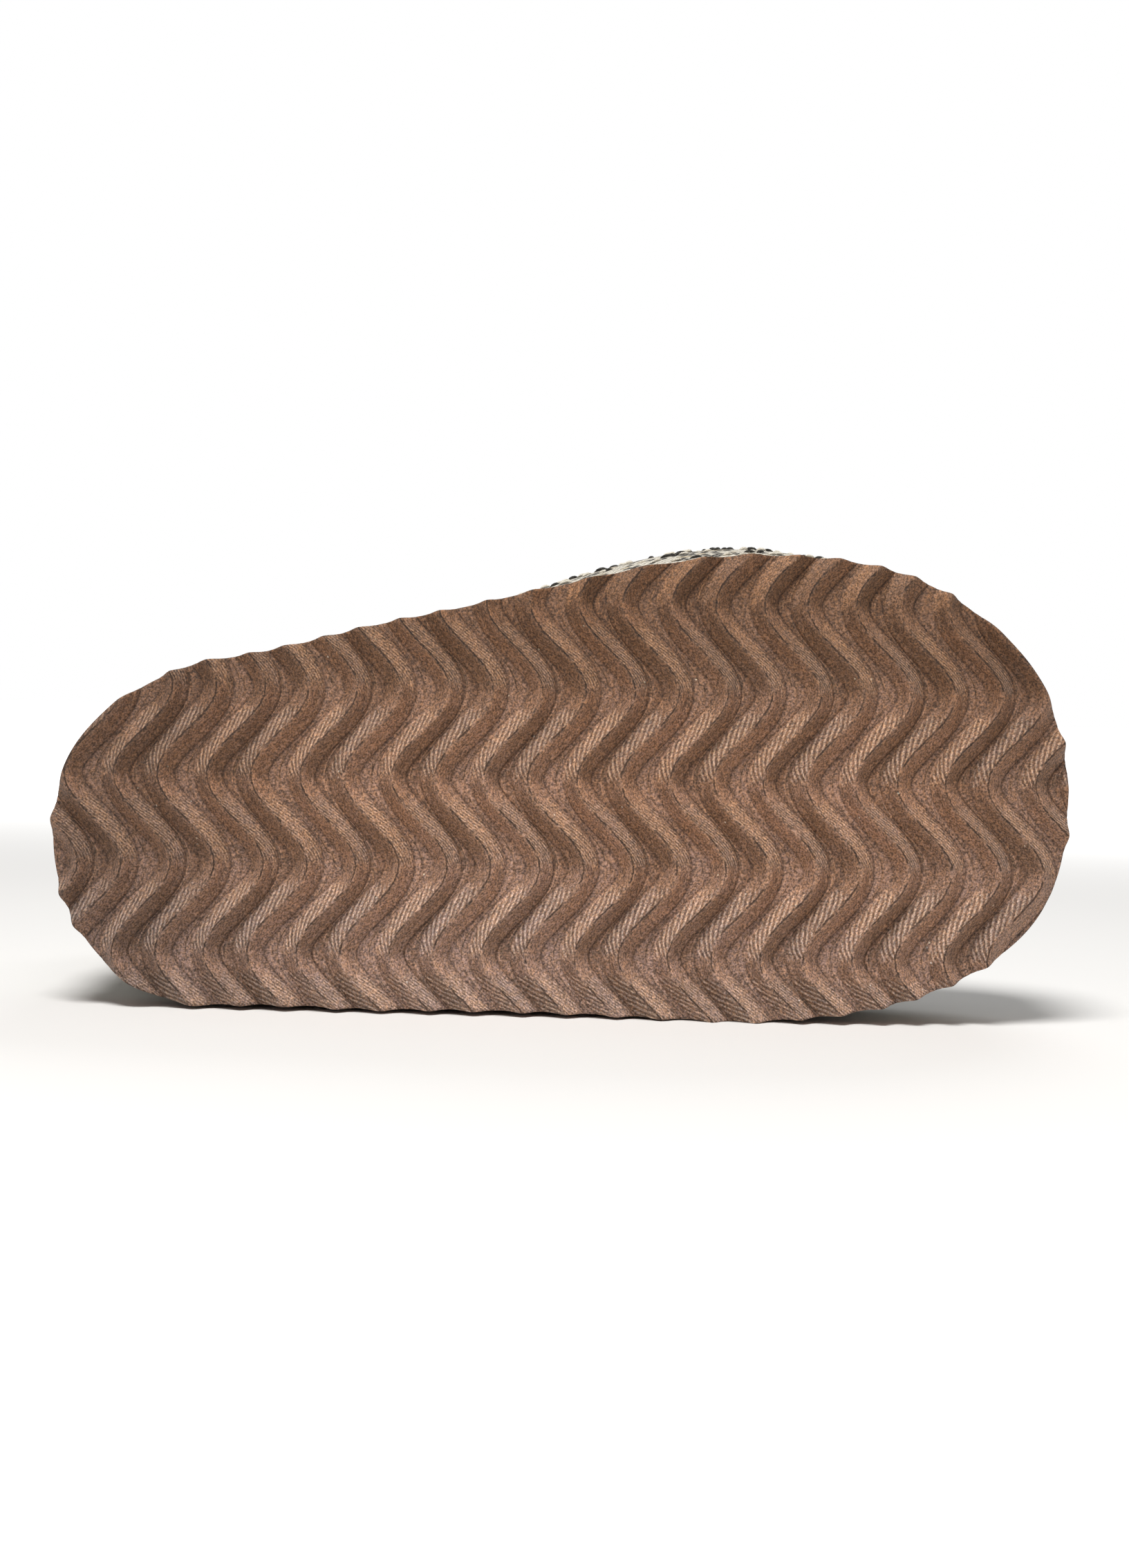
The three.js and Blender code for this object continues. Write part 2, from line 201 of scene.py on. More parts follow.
def curve_through(places, values, at):
    """A smooth curve through one column of a table, with its rows at the given places."""
    places = np.asarray(places, float)
    values = np.asarray(values, float)
    k = np.searchsorted(places[1:-1], at, side="left")
    before = np.maximum(k - 1, 0)
    after = np.minimum(k + 2, len(places) - 1)
    span = places[k + 1] - places[k]
    t = (at - places[k]) / span
    slope_low = span * (values[k + 1] - values[before]) / (places[k + 1] - places[before])
    slope_high = span * (values[after] - values[k]) / (places[after] - places[k])
    low_part = (2 * t**3 - 3 * t**2 + 1) * values[k] + (t**3 - 2 * t**2 + t) * slope_low
    high_part = (3 * t**2 - 2 * t**3) * values[k + 1] + (t**3 - t**2) * slope_high
    return low_part + high_part


def round_end(distance, reach, fullness):
    """How much of the full width is left near a rounded end."""
    t = np.clip(1 - np.maximum(distance, 0) / reach, 0, 1)
    return np.power(np.maximum(1 - t**fullness, 0), 1 / fullness)


def plan_half(part):
    sole = settings().sole
    width = sole.heel_width + (sole.ball_width - sole.heel_width) * smooth(
        part, HEEL_SEAT_AT, BALL_AT
    )
    ends = round_end(part, HEEL_ROUND, HEEL_FULLNESS)
    ends = ends * round_end(1 - part, TOE_ROUND, TOE_FULLNESS)
    return width * curve_through(SOLE_PLAN["along"], SOLE_PLAN["half"], part) * ends


def plan_centre(part):
    bend = curve_through(SOLE_PLAN["along"], SOLE_PLAN["bend"], part)
    return -settings().sole.ball_width * bend


def plan_edge(turn):
    part = (1 - np.cos(turn)) / 2
    side = np.where(np.sin(turn) >= 0, -1, 1)
    return part * settings().sole.sole_length, plan_centre(part) + side * plan_half(part)


def plan_point(turn, inset):
    """Points of the sole's plan, moved inwards. turn goes once around, from the back of the heel
    over the outer side to the tip of the toe at half a circle."""
    small = 2e-3
    x, y = plan_edge(turn)
    ahead_x, ahead_y = plan_edge(turn + small)
    behind_x, behind_y = plan_edge(turn - small)
    step = np.hypot(ahead_x - behind_x, ahead_y - behind_y)
    return x - inset * (ahead_y - behind_y) / step, y + inset * (ahead_x - behind_x) / step


def spring_at(along):
    sole = settings().sole
    t = np.maximum((along / sole.sole_length - SPRING_FROM) / (1 - SPRING_FROM), 0)
    return sole.toe_spring * t * t


def sole_top(along):
    sole = settings().sole
    heel = 1 - smooth(along / sole.sole_length, HEEL_RISE_ENDS, FLAT_FOOT_FROM)
    thickness = settings().tread.rib_height + sole.foam
    return thickness + sole.heel_rise * heel + spring_at(along)


def laid(points):
    """Turns points of the shoe's own frame into points of the world."""
    along, across, up = np.asarray(points, float).T
    sin, cos = math.sin(SHOE_LEAN), math.cos(SHOE_LEAN)
    x = along + SHOE_ORIGIN[0]
    y = -sin * across + cos * up + SHOE_ORIGIN[1]
    z = -cos * across - sin * up + SHOE_ORIGIN[2]
    return np.column_stack([x, y, z])


# Meshes


def mesh_piece(name, points, faces, replaced=()):
    """A mesh object with smooth shading that rides on the shoe's one body."""
    points = np.array(points, float)
    points[:, 2] = np.maximum(points[:, 2], 0)  # the floor flattens what would dip below it
    mesh = bpy.data.meshes.new(name)
    mesh.from_pydata(points.tolist(), [], [tuple(face) for face in faces])
    mesh.validate()
    mesh.shade_smooth()
    piece = bpy.data.objects.new(name, mesh)
    bpy.context.collection.objects.link(piece)
    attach(piece, "root")
    if replaced:
        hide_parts(*replaced)
    return piece


def add_values(piece, name, values):
    """Stores one number for each vertex, for the material to read."""
    layer = piece.data.attributes.new(name, "FLOAT", "POINT")
    layer.data.foreach_set("value", np.asarray(values, np.float32))


def strip_faces(first, second, closed=True):
    """Quads between two rows of as many vertices."""
    first = np.asarray(first)
    second = np.asarray(second)
    faces = np.column_stack([first[:-1], first[1:], second[1:], second[:-1]]).tolist()
    if closed:
        faces.append([first[-1], first[0], second[0], second[-1]])
    return faces


def soft_noise(x, y, seed, waves=7):
    """Smooth variation between about -1 and 1 on a plane, made of a few waves. x and y are in
    the size of the variation."""
    draw = np.random.default_rng(seed)
    total = np.zeros_like(np.asarray(x, float) + y)
    for _ in range(waves):
        angle = draw.uniform(0, 2 * math.pi)
        pace = draw.uniform(0.6, 1.7)
        phase = draw.uniform(0, 2 * math.pi)
        total += np.sin(pace * (x * math.cos(angle) + y * math.sin(angle)) + phase)
    return total / math.sqrt(waves)


# Outsole

ROW_STEP = 0.55 * MM  # spacing of the tread's vertices along a rib
EDGE_STEP = 0.4 * MM  # and along the sole's edge
CREST_ROUND = 0.26  # share of a rib's half width that its crest is rounded over
STEEP_TO = 0.62  # share of the half width where the steep flank ends in the skirt
SKIRT_HEIGHT = 0.6  # the skirt's share of the rib's height
RIB_ROWS = (-1, -0.97, -0.86, -0.74, -0.62, -0.5, -0.38, -0.26, -0.16, -0.07, 0)
VALLEY_ROWS = {"wide": (0.06, 0.3, 0.5, 0.7, 0.94), "narrow": (0.08, 0.5, 0.92)}


def tread_to_shoe(p, q):
    """From the tread's own axes, p across the ribs and q along their middle lines."""
    sole, tread = settings().sole, settings().tread
    cos, sin = math.cos(tread.turn), math.sin(tread.turn)
    along = tread.shift * sole.sole_length + tread.swing + p * cos - q * sin
    across = -tread.side * sole.ball_width + p * sin + q * cos
    return along, across


def shoe_to_tread(along, across):
    sole, tread = settings().sole, settings().tread
    cos, sin = math.cos(tread.turn), math.sin(tread.turn)
    a = along - tread.shift * sole.sole_length - tread.swing
    b = across + tread.side * sole.ball_width
    return a * cos + b * sin, b * cos - a * sin


def rib_line(middle, q):
    """The middle line of a rib and the direction across it, at places q."""
    tread = settings().tread
    phase = 2 * math.pi * q / tread.wave
    p = middle - tread.swing * np.cos(phase)
    slope = 2 * math.pi * tread.swing / tread.wave * np.sin(phase)
    size = np.hypot(1, slope)
    return p, 1 / size, -slope / size, slope


def nearest_on_rib(p, q, middle):
    """Signed distance from points to a rib's middle line, and the place q of the nearest point."""
    foot = q.copy()
    for _ in range(12):
        line_p, side_p, side_q, _ = rib_line(middle, foot)
        behind = -(p - line_p) * side_q + (q - foot) * side_p
        foot = foot + 0.7 * behind * side_p
    line_p, side_p, side_q, _ = rib_line(middle, foot)
    return (p - line_p) * side_p + (q - foot) * side_q, foot


def rib_profile(part):
    """Height of a rib as a share, at a share of its half width from the middle line."""
    part = np.abs(part)
    flank = np.clip(1 - part / STEEP_TO, 0, 1)
    blunt = CREST_ROUND / STEEP_TO
    steep = flank - 0.5 * blunt * np.maximum(1 - part / CREST_ROUND, 0) ** 2
    steep = steep / (1 - 0.5 * blunt)
    skirt = np.clip(1 - part, 0, 1) ** 0.85
    return (1 - SKIRT_HEIGHT) * steep * (1.25 - 0.25 * steep) + SKIRT_HEIGHT * skirt


def tread_field(along, across):
    """What the tread looks like at points: its height, the signed distance from the nearest rib's
    middle line as a share of the half width, the place along that rib and the kind of rib."""
    tread = settings().tread
    p, q = shoe_to_tread(along, across)
    wobble = 0.10 * MM * soft_noise(p / (9 * MM), q / (6 * MM), 3)
    level = p + wobble + tread.swing * np.cos(2 * math.pi * q / tread.wave)
    best = None
    for kind, first, base in (
        (0.0, 0.0, tread.wide_base),
        (1.0, tread.offset, tread.narrow_base),
    ):
        number = np.round((level - first) / tread.pitch)
        middle = number * tread.pitch + first
        away, foot = nearest_on_rib(p + wobble, q, middle)
        part = away / (base / 2)
        found = np.column_stack([part, foot, np.full(len(part), kind), number])
        if best is None:
            best = found
        else:
            closer = np.abs(part) < np.abs(best[:, 0])
            best = np.where(closer[:, None], found, best)
    part = best[:, 0]
    uneven = 1 + 0.05 * soft_noise(along / (12 * MM), across / (9 * MM), 5)
    height = tread.rib_height * rib_profile(part) * uneven
    dip = 0.12 * MM * np.exp(-(((np.abs(part) - 1.03) / 0.05) ** 2))
    rise = np.minimum(height - dip, tread.rib_height)
    up = tread.rib_height - rise + spring_at(along)
    return up, part, best[:, 1], best[:, 2], best[:, 3]


def inside_plan(along, across):
    part = np.clip(along / settings().sole.sole_length, 0, 1)
    within = plan_half(part) - np.abs(across - plan_centre(part))
    outside = np.maximum(-along, along - settings().sole.sole_length)
    return np.where(outside > 0, -np.abs(outside), within)


def turn_of(along, across):
    part = np.clip(along / settings().sole.sole_length, 0, 1)
    turn = np.arccos(1 - 2 * part)
    return np.where(across > plan_centre(part), 2 * math.pi - turn, turn)


def tread_rows():
    """The lines of vertices that follow the ribs: one for each height of each rib's section, and
    a few in each valley."""
    sole, tread = settings().sole, settings().tread
    reach = 0.75 * sole.ball_width
    q = np.arange(-reach, reach, ROW_STEP)
    before = math.ceil(tread.shift * sole.sole_length / tread.pitch) + 1
    after = math.ceil((1 - tread.shift) * sole.sole_length / tread.pitch) + 1
    offsets = list(RIB_ROWS) + [-part for part in RIB_ROWS[-2::-1]]
    rows = []
    last_edge = None
    for number in range(-before, after + 1):
        for kind, first, base in (
            ("narrow", 0.0, tread.wide_base),
            ("wide", tread.offset, tread.narrow_base),
        ):
            middle = number * tread.pitch + first
            p, side_p, side_q, _ = rib_line(middle, q)
            lines = [(p + side_p * part * base / 2, q + side_q * part * base / 2) for part in offsets]
            if last_edge is not None:
                for part in VALLEY_ROWS[kind]:
                    valley_p = last_edge[0] * (1 - part) + lines[0][0] * part
                    valley_q = last_edge[1] * (1 - part) + lines[0][1] * part
                    rows.append((valley_p, valley_q))
            rows.extend(lines)
            last_edge = lines[-1]
    return [tread_to_shoe(*row) for row in rows]


def edge_crossing(inner, outer):
    """The point of the sole's edge on the way from a point inside it to one outside it."""
    low, high = 0.0, 1.0
    inner = np.asarray(inner)
    outer = np.asarray(outer)
    for _ in range(18):
        middle = (low + high) / 2
        along, across = inner + (outer - inner) * middle
        if inside_plan(np.array([along]), np.array([across]))[0] > 0:
            low = middle
        else:
            high = middle
    return inner + (outer - inner) * low


def tread_mesh():
    """Vertices and triangles of the tread in the shoe's plan, and the loop of its edge."""
    margin = 0.14 * MM
    points = []
    links = []
    crossings = []
    for along, across in tread_rows():
        depth = inside_plan(along, across)
        inner = depth > margin
        number = np.cumsum(inner) - 1 + len(points)
        points.extend(np.column_stack([along, across])[inner].tolist())
        both = inner[:-1] & inner[1:]
        links.extend(np.column_stack([number[:-1], number[1:]])[both].tolist())
        for k in np.nonzero(inner[:-1] != inner[1:])[0]:
            if inner[k]:
                step = range(k + 1, min(k + 4, len(depth)))
                start, at = k, number[k]
            else:
                step = range(k, max(k - 3, -1), -1)
                start, at = k + 1, number[k + 1]
            outer = next((j for j in step if depth[j] < 0), None)
            if outer is not None:
                spot = edge_crossing((along[start], across[start]), (along[outer], across[outer]))
                crossings.append((spot[0], spot[1], at))
    crossings = np.array(crossings)
    turns = turn_of(crossings[:, 0], crossings[:, 1])
    around = np.linspace(0, 2 * math.pi, 4001)
    edge_along, edge_across = plan_point(around, 0)
    walked = np.concatenate([[0], np.cumsum(np.hypot(np.diff(edge_along), np.diff(edge_across)))])
    even = np.interp(np.arange(0, walked[-1], EDGE_STEP), walked, around)
    gap = np.interp(turns, around, walked)
    even_at = np.interp(even, around, walked)
    near = np.abs(even_at[:, None] - gap[None, :]).min(axis=1)
    even = even[near > 0.3 * EDGE_STEP]
    even_along, even_across = plan_edge(even)
    all_turns = np.concatenate([even, turns])
    spots = np.concatenate([np.column_stack([even_along, even_across]), crossings[:, :2]])
    owners = np.concatenate([np.full(len(even), -1), crossings[:, 2].astype(int)])
    order = np.argsort(all_turns)
    first = len(points)
    for place, k in enumerate(order):
        if owners[k] >= 0:
            links.append([int(owners[k]), first + place])
    points.extend(spots[order].tolist())
    count = len(order)
    links.extend([[first + k, first + (k + 1) % count] for k in range(count)])
    flat = [Vector((x / MM, y / MM)) for x, y in points]
    spots, _, faces, origins, _, _ = delaunay_2d_cdt(flat, links, [], 1, 1e-5)
    spots = np.array([tuple(spot) for spot in spots]) * MM
    place_of = {old: new for new, olds in enumerate(origins) for old in olds}
    loop = []
    for k in range(count):
        place = place_of[first + k]
        if not loop or loop[-1] != place:
            loop.append(place)
    return spots, faces, loop


def build_outsole():
    sole, tread = settings().sole, settings().tread
    spots, faces, loop = tread_mesh()
    up, part, foot, kind, number = tread_field(spots[:, 0], spots[:, 1])
    points = np.column_stack([spots, up])
    edge = points[loop]
    # Ribs that run out at the edge push it outwards a little.
    ahead = np.roll(edge, -1, axis=0) - np.roll(edge, 1, axis=0)
    size = np.hypot(ahead[:, 0], ahead[:, 1])
    outward = np.column_stack([ahead[:, 1] / size, -ahead[:, 0] / size])
    inner_centre = plan_centre(np.clip(edge[:, 0] / sole.sole_length, 0, 1))
    outward *= np.sign((outward[:, 1] * (edge[:, 1] - inner_centre)).sum())
    rib = np.clip(rib_profile(part[loop]), 0, 1)
    proud = sole.scallop * (rib - 0.35)
    points[loop, :2] += outward * proud[:, None]
    edge = points[loop]
    # The side wall, a little full in the middle of its height.
    top = sole_top(edge[:, 0])
    rings = [np.asarray(loop)]
    extra = []
    extra_values = []
    count = len(points)
    for share_up in (0.12, 0.27, 0.43, 0.6, 0.77, 0.9, 0.97, 1.0):
        lean = sole.top_inset * share_up**2 + 0.25 * MM * (share_up >= 1)
        full = 0.25 * MM * math.sin(math.pi * share_up)
        fade = (1 - smooth(share_up, 0.1, 0.7)) * 1.0
        moved = outward * (full - lean - proud * (1 - fade))[:, None]
        height = edge[:, 2] + (top - edge[:, 2]) * share_up
        extra.append(np.column_stack([edge[:, :2] + moved, height]))
        extra_values.append(np.full(len(edge), 3.0))
        rings.append(count + np.arange(len(edge)))
        count += len(edge)
    points = np.concatenate([points] + extra)
    faces = [list(face) for face in faces]
    for low, high in zip(rings[:-1], rings[1:]):
        faces += strip_faces(low, high)
    # The top is hidden below the insole.
    ring = points[rings[-1]]
    flat = [Vector(spot[:2] / MM) for spot in ring]
    loop_links = [[k, (k + 1) % len(ring)] for k in range(len(ring))]
    top_spots, _, top_faces, origins, _, _ = delaunay_2d_cdt(flat, loop_links, [], 1, 1e-5)
    back_to = [olds[0] for olds in origins]
    faces += [[int(rings[-1][back_to[v]]) for v in face] for face in top_faces]
    piece = mesh_piece("ribbed_sole", laid(points), faces, ("outsole",))
    tail = np.zeros(len(points) - len(part))
    add_values(piece, "rib_part", np.concatenate([part, tail + 3]))
    add_values(piece, "rib_place", np.concatenate([foot, tail]) / MM)
    add_values(piece, "rib_kind", np.concatenate([kind, tail]))
    add_values(piece, "rib_number", np.concatenate([number, tail]))
    tread_p, tread_q = shoe_to_tread(points[:, 0], points[:, 1])
    phase = 2 * math.pi * tread_q / tread.wave
    add_values(piece, "rib_slant", -np.sin(phase))
    add_values(piece, "rib_turn", np.cos(phase))
    add_values(piece, "sole_share", points[:, 0] / sole.sole_length)
    add_values(piece, "sole_side", points[:, 1] / sole.ball_width)
    recalculate_normals(piece)
    piece.data.materials.append(foam_material())
    return piece


def recalculate_normals(piece):
    import bmesh

    mesh = bmesh.new()
    mesh.from_mesh(piece.data)
    bmesh.ops.recalc_face_normals(mesh, faces=mesh.faces)
    mesh.to_mesh(piece.data)
    mesh.free()


# Upper


def ring_value(column, level):
    return curve_through(
        np.arange(RING_COUNT), UPPER_RINGS[column], np.asarray(level) * (RING_COUNT - 1)
    )


def upper_point(level, turn):
    """Points on the outside of the upper. level runs from 0 at the sole to 1 at the collar."""
    sole, upper = settings().sole, settings().upper
    foot_along, foot_across = plan_point(turn, sole.top_inset + upper.feather_step)
    part = foot_along / sole.sole_length
    back = ring_value("back", level) * sole.sole_length
    shaft_front = UPPER_RINGS["back"][-1] * sole.sole_length + upper.collar_length
    front = shaft_front + ring_value("reach", level) * (sole.sole_length - shaft_front)
    along = back + (front - back) * part
    leg = np.clip(ring_value("leg", level), 0, 1)
    outer_side = np.sin(turn) >= 0
    leg_half = upper.collar_width / 2 * np.abs(np.sin(turn)) ** (2 / upper.leg_fullness)
    foot_half = np.abs(foot_across - plan_centre(part))
    width = np.where(outer_side, ring_value("outer", level), ring_value("inner", level))
    half = width * (foot_half * (1 - leg) + leg_half * leg)
    bulge_share = np.clip((part - BULGE_FROM) / (BULGE_TO - BULGE_FROM), 0, 1)
    bulge = upper.ball_bulge * ring_value("bulge", level) * np.sin(math.pi * bulge_share) ** 2
    centre = plan_centre(part) * (1 - leg) - upper.leg_bend * sole.ball_width * leg
    across = centre + np.where(outer_side, -1, 1) * (half + np.where(outer_side, bulge, 0))
    back_up = upper.shaft * ring_value("back_up", level)
    vamp_up = (upper.instep - upper.toe_box) * ring_value("vamp", level)
    shin_up = (upper.shaft - upper.instep) * ring_value("shin", level)
    front_up = upper.toe_box * ring_value("toe", level) + vamp_up + shin_up
    ground = sole_top(np.clip(along, 0, sole.sole_length)) + upper.gap
    up = ground + back_up + (front_up - back_up) * smooth(part, 0, 1)
    return np.stack([along, across, up], axis=-1)


def upper_normal(level, turn):
    small = 1e-3
    around = upper_point(level, turn + small) - upper_point(level, turn - small)
    low = np.clip(level - small, 0, 1)
    high = np.clip(level + small, 0, 1)
    rising = upper_point(high, turn) - upper_point(low, turn)
    normal = np.cross(around, rising)
    size = np.linalg.norm(normal, axis=-1, keepdims=True)
    return normal / np.maximum(size, 1e-12)


AROUND = 400  # vertices around the upper
RISE_ROWS = 150  # rows from the sole to the collar
LINING_ROWS = 50

# Soft folds of the upper. level and turn are the middle of a fold, as shares of
# the rise and of the way around. long and wide are its half sizes in the same shares, tilt leans
# it, and depth is in metres: folds push in and ridges push out.
SEAM_DEPTH = 0.7 * MM
SEAM_HALF = 0.0045  # a share of the way around
FOLDS = (
    {"level": 0.56, "turn": 0.42, "long": 0.10, "wide": 0.020, "tilt": 0.10, "depth": -0.0019},
    {"level": 0.61, "turn": 0.43, "long": 0.11, "wide": 0.022, "tilt": 0.05, "depth": 0.0010},
    {"level": 0.66, "turn": 0.45, "long": 0.10, "wide": 0.018, "tilt": -0.05, "depth": -0.0014},
    {"level": 0.57, "turn": 0.58, "long": 0.10, "wide": 0.020, "tilt": -0.12, "depth": -0.0017},
    {"level": 0.63, "turn": 0.57, "long": 0.10, "wide": 0.022, "tilt": 0.02, "depth": 0.0008},
    {"level": 0.52, "turn": 0.50, "long": 0.07, "wide": 0.018, "tilt": 0.0, "depth": -0.0014},
    {"level": 0.70, "turn": 0.08, "long": 0.09, "wide": 0.022, "tilt": 0.15, "depth": -0.0012},
    {"level": 0.68, "turn": 0.93, "long": 0.09, "wide": 0.022, "tilt": -0.14, "depth": -0.0012},
    {"level": 0.30, "turn": 0.36, "long": 0.06, "wide": 0.030, "tilt": 0.3, "depth": -0.0008},
)


def fold_depth(level, turn):
    """How far the upper is pushed out at a place, by its folds and by the seam up its back."""
    part = (turn / (2 * math.pi)) % 1.0
    total = np.zeros(np.broadcast(level, part).shape)
    for fold in FOLDS:
        beside = (part - fold["turn"] + 0.5) % 1.0 - 0.5
        rise = level - fold["level"] - fold["tilt"] * beside
        spread = (beside / fold["long"]) ** 2 + (rise / fold["wide"]) ** 2
        total += fold["depth"] * np.exp(-spread)
    from_back = (part + 0.5) % 1.0 - 0.5
    return total - SEAM_DEPTH * np.exp(-((from_back / SEAM_HALF) ** 2))


def hem_shape(level):
    """How far the hem stands proud, from its lower edge to the collar."""
    upper = settings().upper
    collar_rise = upper.shaft * (UPPER_RINGS["back_up"][-1] - UPPER_RINGS["back_up"][-2])
    hem_level = 1 - upper.hem / collar_rise / (RING_COUNT - 1)
    return hem_level, upper.hem_step * smooth(level, hem_level - 0.002, hem_level + 0.006)


def upper_ring(level, turn, offset, lift):
    flat_edge = level <= 0 or level >= 1
    points = upper_point(level, turn)
    normal = upper_normal(level, turn)
    if flat_edge:
        normal[:, 2] = 0
        normal /= np.linalg.norm(normal, axis=-1, keepdims=True)
    points = points + normal * np.asarray(offset)[..., None]
    points[:, 2] += lift
    return points


def build_upper():
    upper = settings().upper
    turn = np.linspace(0, 2 * math.pi, AROUND, endpoint=False)
    hem_level, _ = hem_shape(0)
    levels = np.concatenate(
        [
            np.linspace(0, hem_level - 0.004, RISE_ROWS, endpoint=False),
            np.linspace(hem_level - 0.004, hem_level + 0.008, 9, endpoint=False),
            np.linspace(hem_level + 0.008, 1, 18),
        ]
    )
    rim = 0.5 * upper.wall
    rings = []
    heights = []
    inside = []
    for level in levels:
        _, hem = hem_shape(level)
        puff = 0.35 * MM * math.sin(math.pi * float(smooth(level, hem_level, 1))) * (level > hem_level)
        fade = float(smooth(level, 0.0, 0.08)) * float(1 - smooth(level, 0.9, 0.98))
        offset = hem + puff + fold_depth(level, turn) * fade
        rings.append(upper_ring(level, turn, offset, -upper.hem_step if level >= 1 else 0))
        inside.append(0)
        heights.append(level)
    for step in np.linspace(0.12, 0.88, 7):
        angle = math.pi * step
        offset = upper.hem_step - (upper.wall + upper.hem_step) * (1 - math.cos(angle)) / 2
        lift = 0.8 * rim * math.sin(angle) - upper.hem_step * (1 - math.sin(angle))
        rings.append(upper_ring(1, turn, np.full(AROUND, offset), lift))
        inside.append(0)
        heights.append(1)
    for level in np.linspace(1, 0, LINING_ROWS):
        offset = np.full(AROUND, -upper.wall)
        lift = -upper.hem_step if level >= 1 else 0
        rings.append(upper_ring(level, turn, offset, lift))
        inside.append(1)
        heights.append(level)
    faces = []
    for k in range(len(rings)):
        following = (k + 1) % len(rings)
        low = k * AROUND + np.arange(AROUND)
        high = following * AROUND + np.arange(AROUND)
        faces += strip_faces(low, high)
    points = np.concatenate(rings)
    piece = mesh_piece("tweed_upper", laid(points), faces, ("upper",))
    add_cloth_places(piece, points)
    add_values(piece, "lining", np.repeat(inside, AROUND))
    add_values(piece, "rise", np.repeat(heights, AROUND))
    recalculate_normals(piece)
    piece.data.materials.append(tweed_material())
    return piece


# Loose yarns and stitches

NUB_COUNT = 3400
NUB_SIDES = 5
NUB_RINGS = 5
STITCH_LENGTH = 3.0 * MM
STITCH_GAP = 0.9 * MM


def short_yarns(name, middles, ways, normals, lengths, widths, shades, arch):
    """Many short yarns in one mesh. Each is a bowed tube with rounded ends."""
    count = len(middles)
    ways = ways / np.linalg.norm(ways, axis=1, keepdims=True)
    sides = np.cross(ways, normals)
    sides /= np.linalg.norm(sides, axis=1, keepdims=True)
    rings = []
    for t in np.linspace(-1, 1, NUB_RINGS):
        width = math.sqrt(max(1 - abs(t) ** 2.5, 0.05))
        middle = middles + ways * (lengths * t / 2)[:, None]
        middle = middle + normals * (arch * lengths * (1 - t * t))[:, None]
        for k in range(NUB_SIDES):
            angle = 2 * math.pi * k / NUB_SIDES
            out = sides * math.cos(angle) + normals * math.sin(angle)
            rings.append(middle + out * (widths * width / 2)[:, None])
    points = np.stack(rings, axis=1).reshape(-1, 3)
    size = NUB_RINGS * NUB_SIDES
    pattern = []
    for ring in range(NUB_RINGS - 1):
        for k in range(NUB_SIDES):
            following = (k + 1) % NUB_SIDES
            low = ring * NUB_SIDES
            pattern.append([low + k, low + following, low + NUB_SIDES + following, low + NUB_SIDES + k])
    quads = np.array(pattern)[None] + (np.arange(count) * size)[:, None, None]
    faces = quads.reshape(-1, 4).tolist()
    first = np.arange(count) * size
    last = first + size - NUB_SIDES
    faces += [list(range(at, at + NUB_SIDES))[::-1] for at in first]
    faces += [list(range(at, at + NUB_SIDES)) for at in last]
    piece = mesh_piece(name, laid(points), faces)
    add_values(piece, "shade", np.repeat(shades, size))
    recalculate_normals(piece)
    return piece


def cloth_frame(level, turn):
    """Points on the outside of the upper, with its normals and the ways around and up it."""
    small = 1e-3
    points = upper_point(level, turn)
    around = upper_point(level, turn + small) - upper_point(level, turn - small)
    around /= np.linalg.norm(around, axis=-1, keepdims=True)
    normal = upper_normal(level, turn)
    rising = np.cross(normal, around)
    offset = fold_depth(level, turn) * smooth(level, 0, 0.08) * (1 - smooth(level, 0.9, 0.98))
    points = points + normal * (offset + hem_shape(level)[1])[..., None]
    return points, normal, around, rising


def build_nubs():
    """Small yarn loops scattered over the tweed."""
    draw = np.random.default_rng(21)
    level_edges = np.linspace(0.004, 0.985, 61)
    turn_edges = np.linspace(0, 2 * math.pi, 121)
    level_grid, turn_grid = np.meshgrid(level_edges, turn_edges, indexing="ij")
    grid = upper_point(level_grid, turn_grid)
    sides = np.cross(grid[1:, :-1] - grid[:-1, :-1], grid[:-1, 1:] - grid[:-1, :-1])
    area = np.linalg.norm(sides, axis=-1).ravel()
    cell = draw.choice(len(area), NUB_COUNT, p=area / area.sum())
    row, column = np.divmod(cell, len(turn_edges) - 1)
    level = level_edges[row] + draw.random(NUB_COUNT) * (level_edges[1] - level_edges[0])
    turn = turn_edges[column] + draw.random(NUB_COUNT) * (turn_edges[1] - turn_edges[0])
    points, normal, around, rising = cloth_frame(level, turn)
    slant = draw.normal(0.35, 0.35, NUB_COUNT)[:, None]
    lengths = draw.uniform(1.2, 2.3, NUB_COUNT) * MM
    widths = draw.uniform(0.45, 0.62, NUB_COUNT) * MM
    shades = (draw.random(NUB_COUNT) < 0.36).astype(float)
    points = points + normal * (0.02 * MM)
    ways = around + rising * slant
    piece = short_yarns("tweed_nubs", points, ways, normal, lengths, widths, shades, 0.1)
    piece.data.materials.append(yarn_material())
    return piece


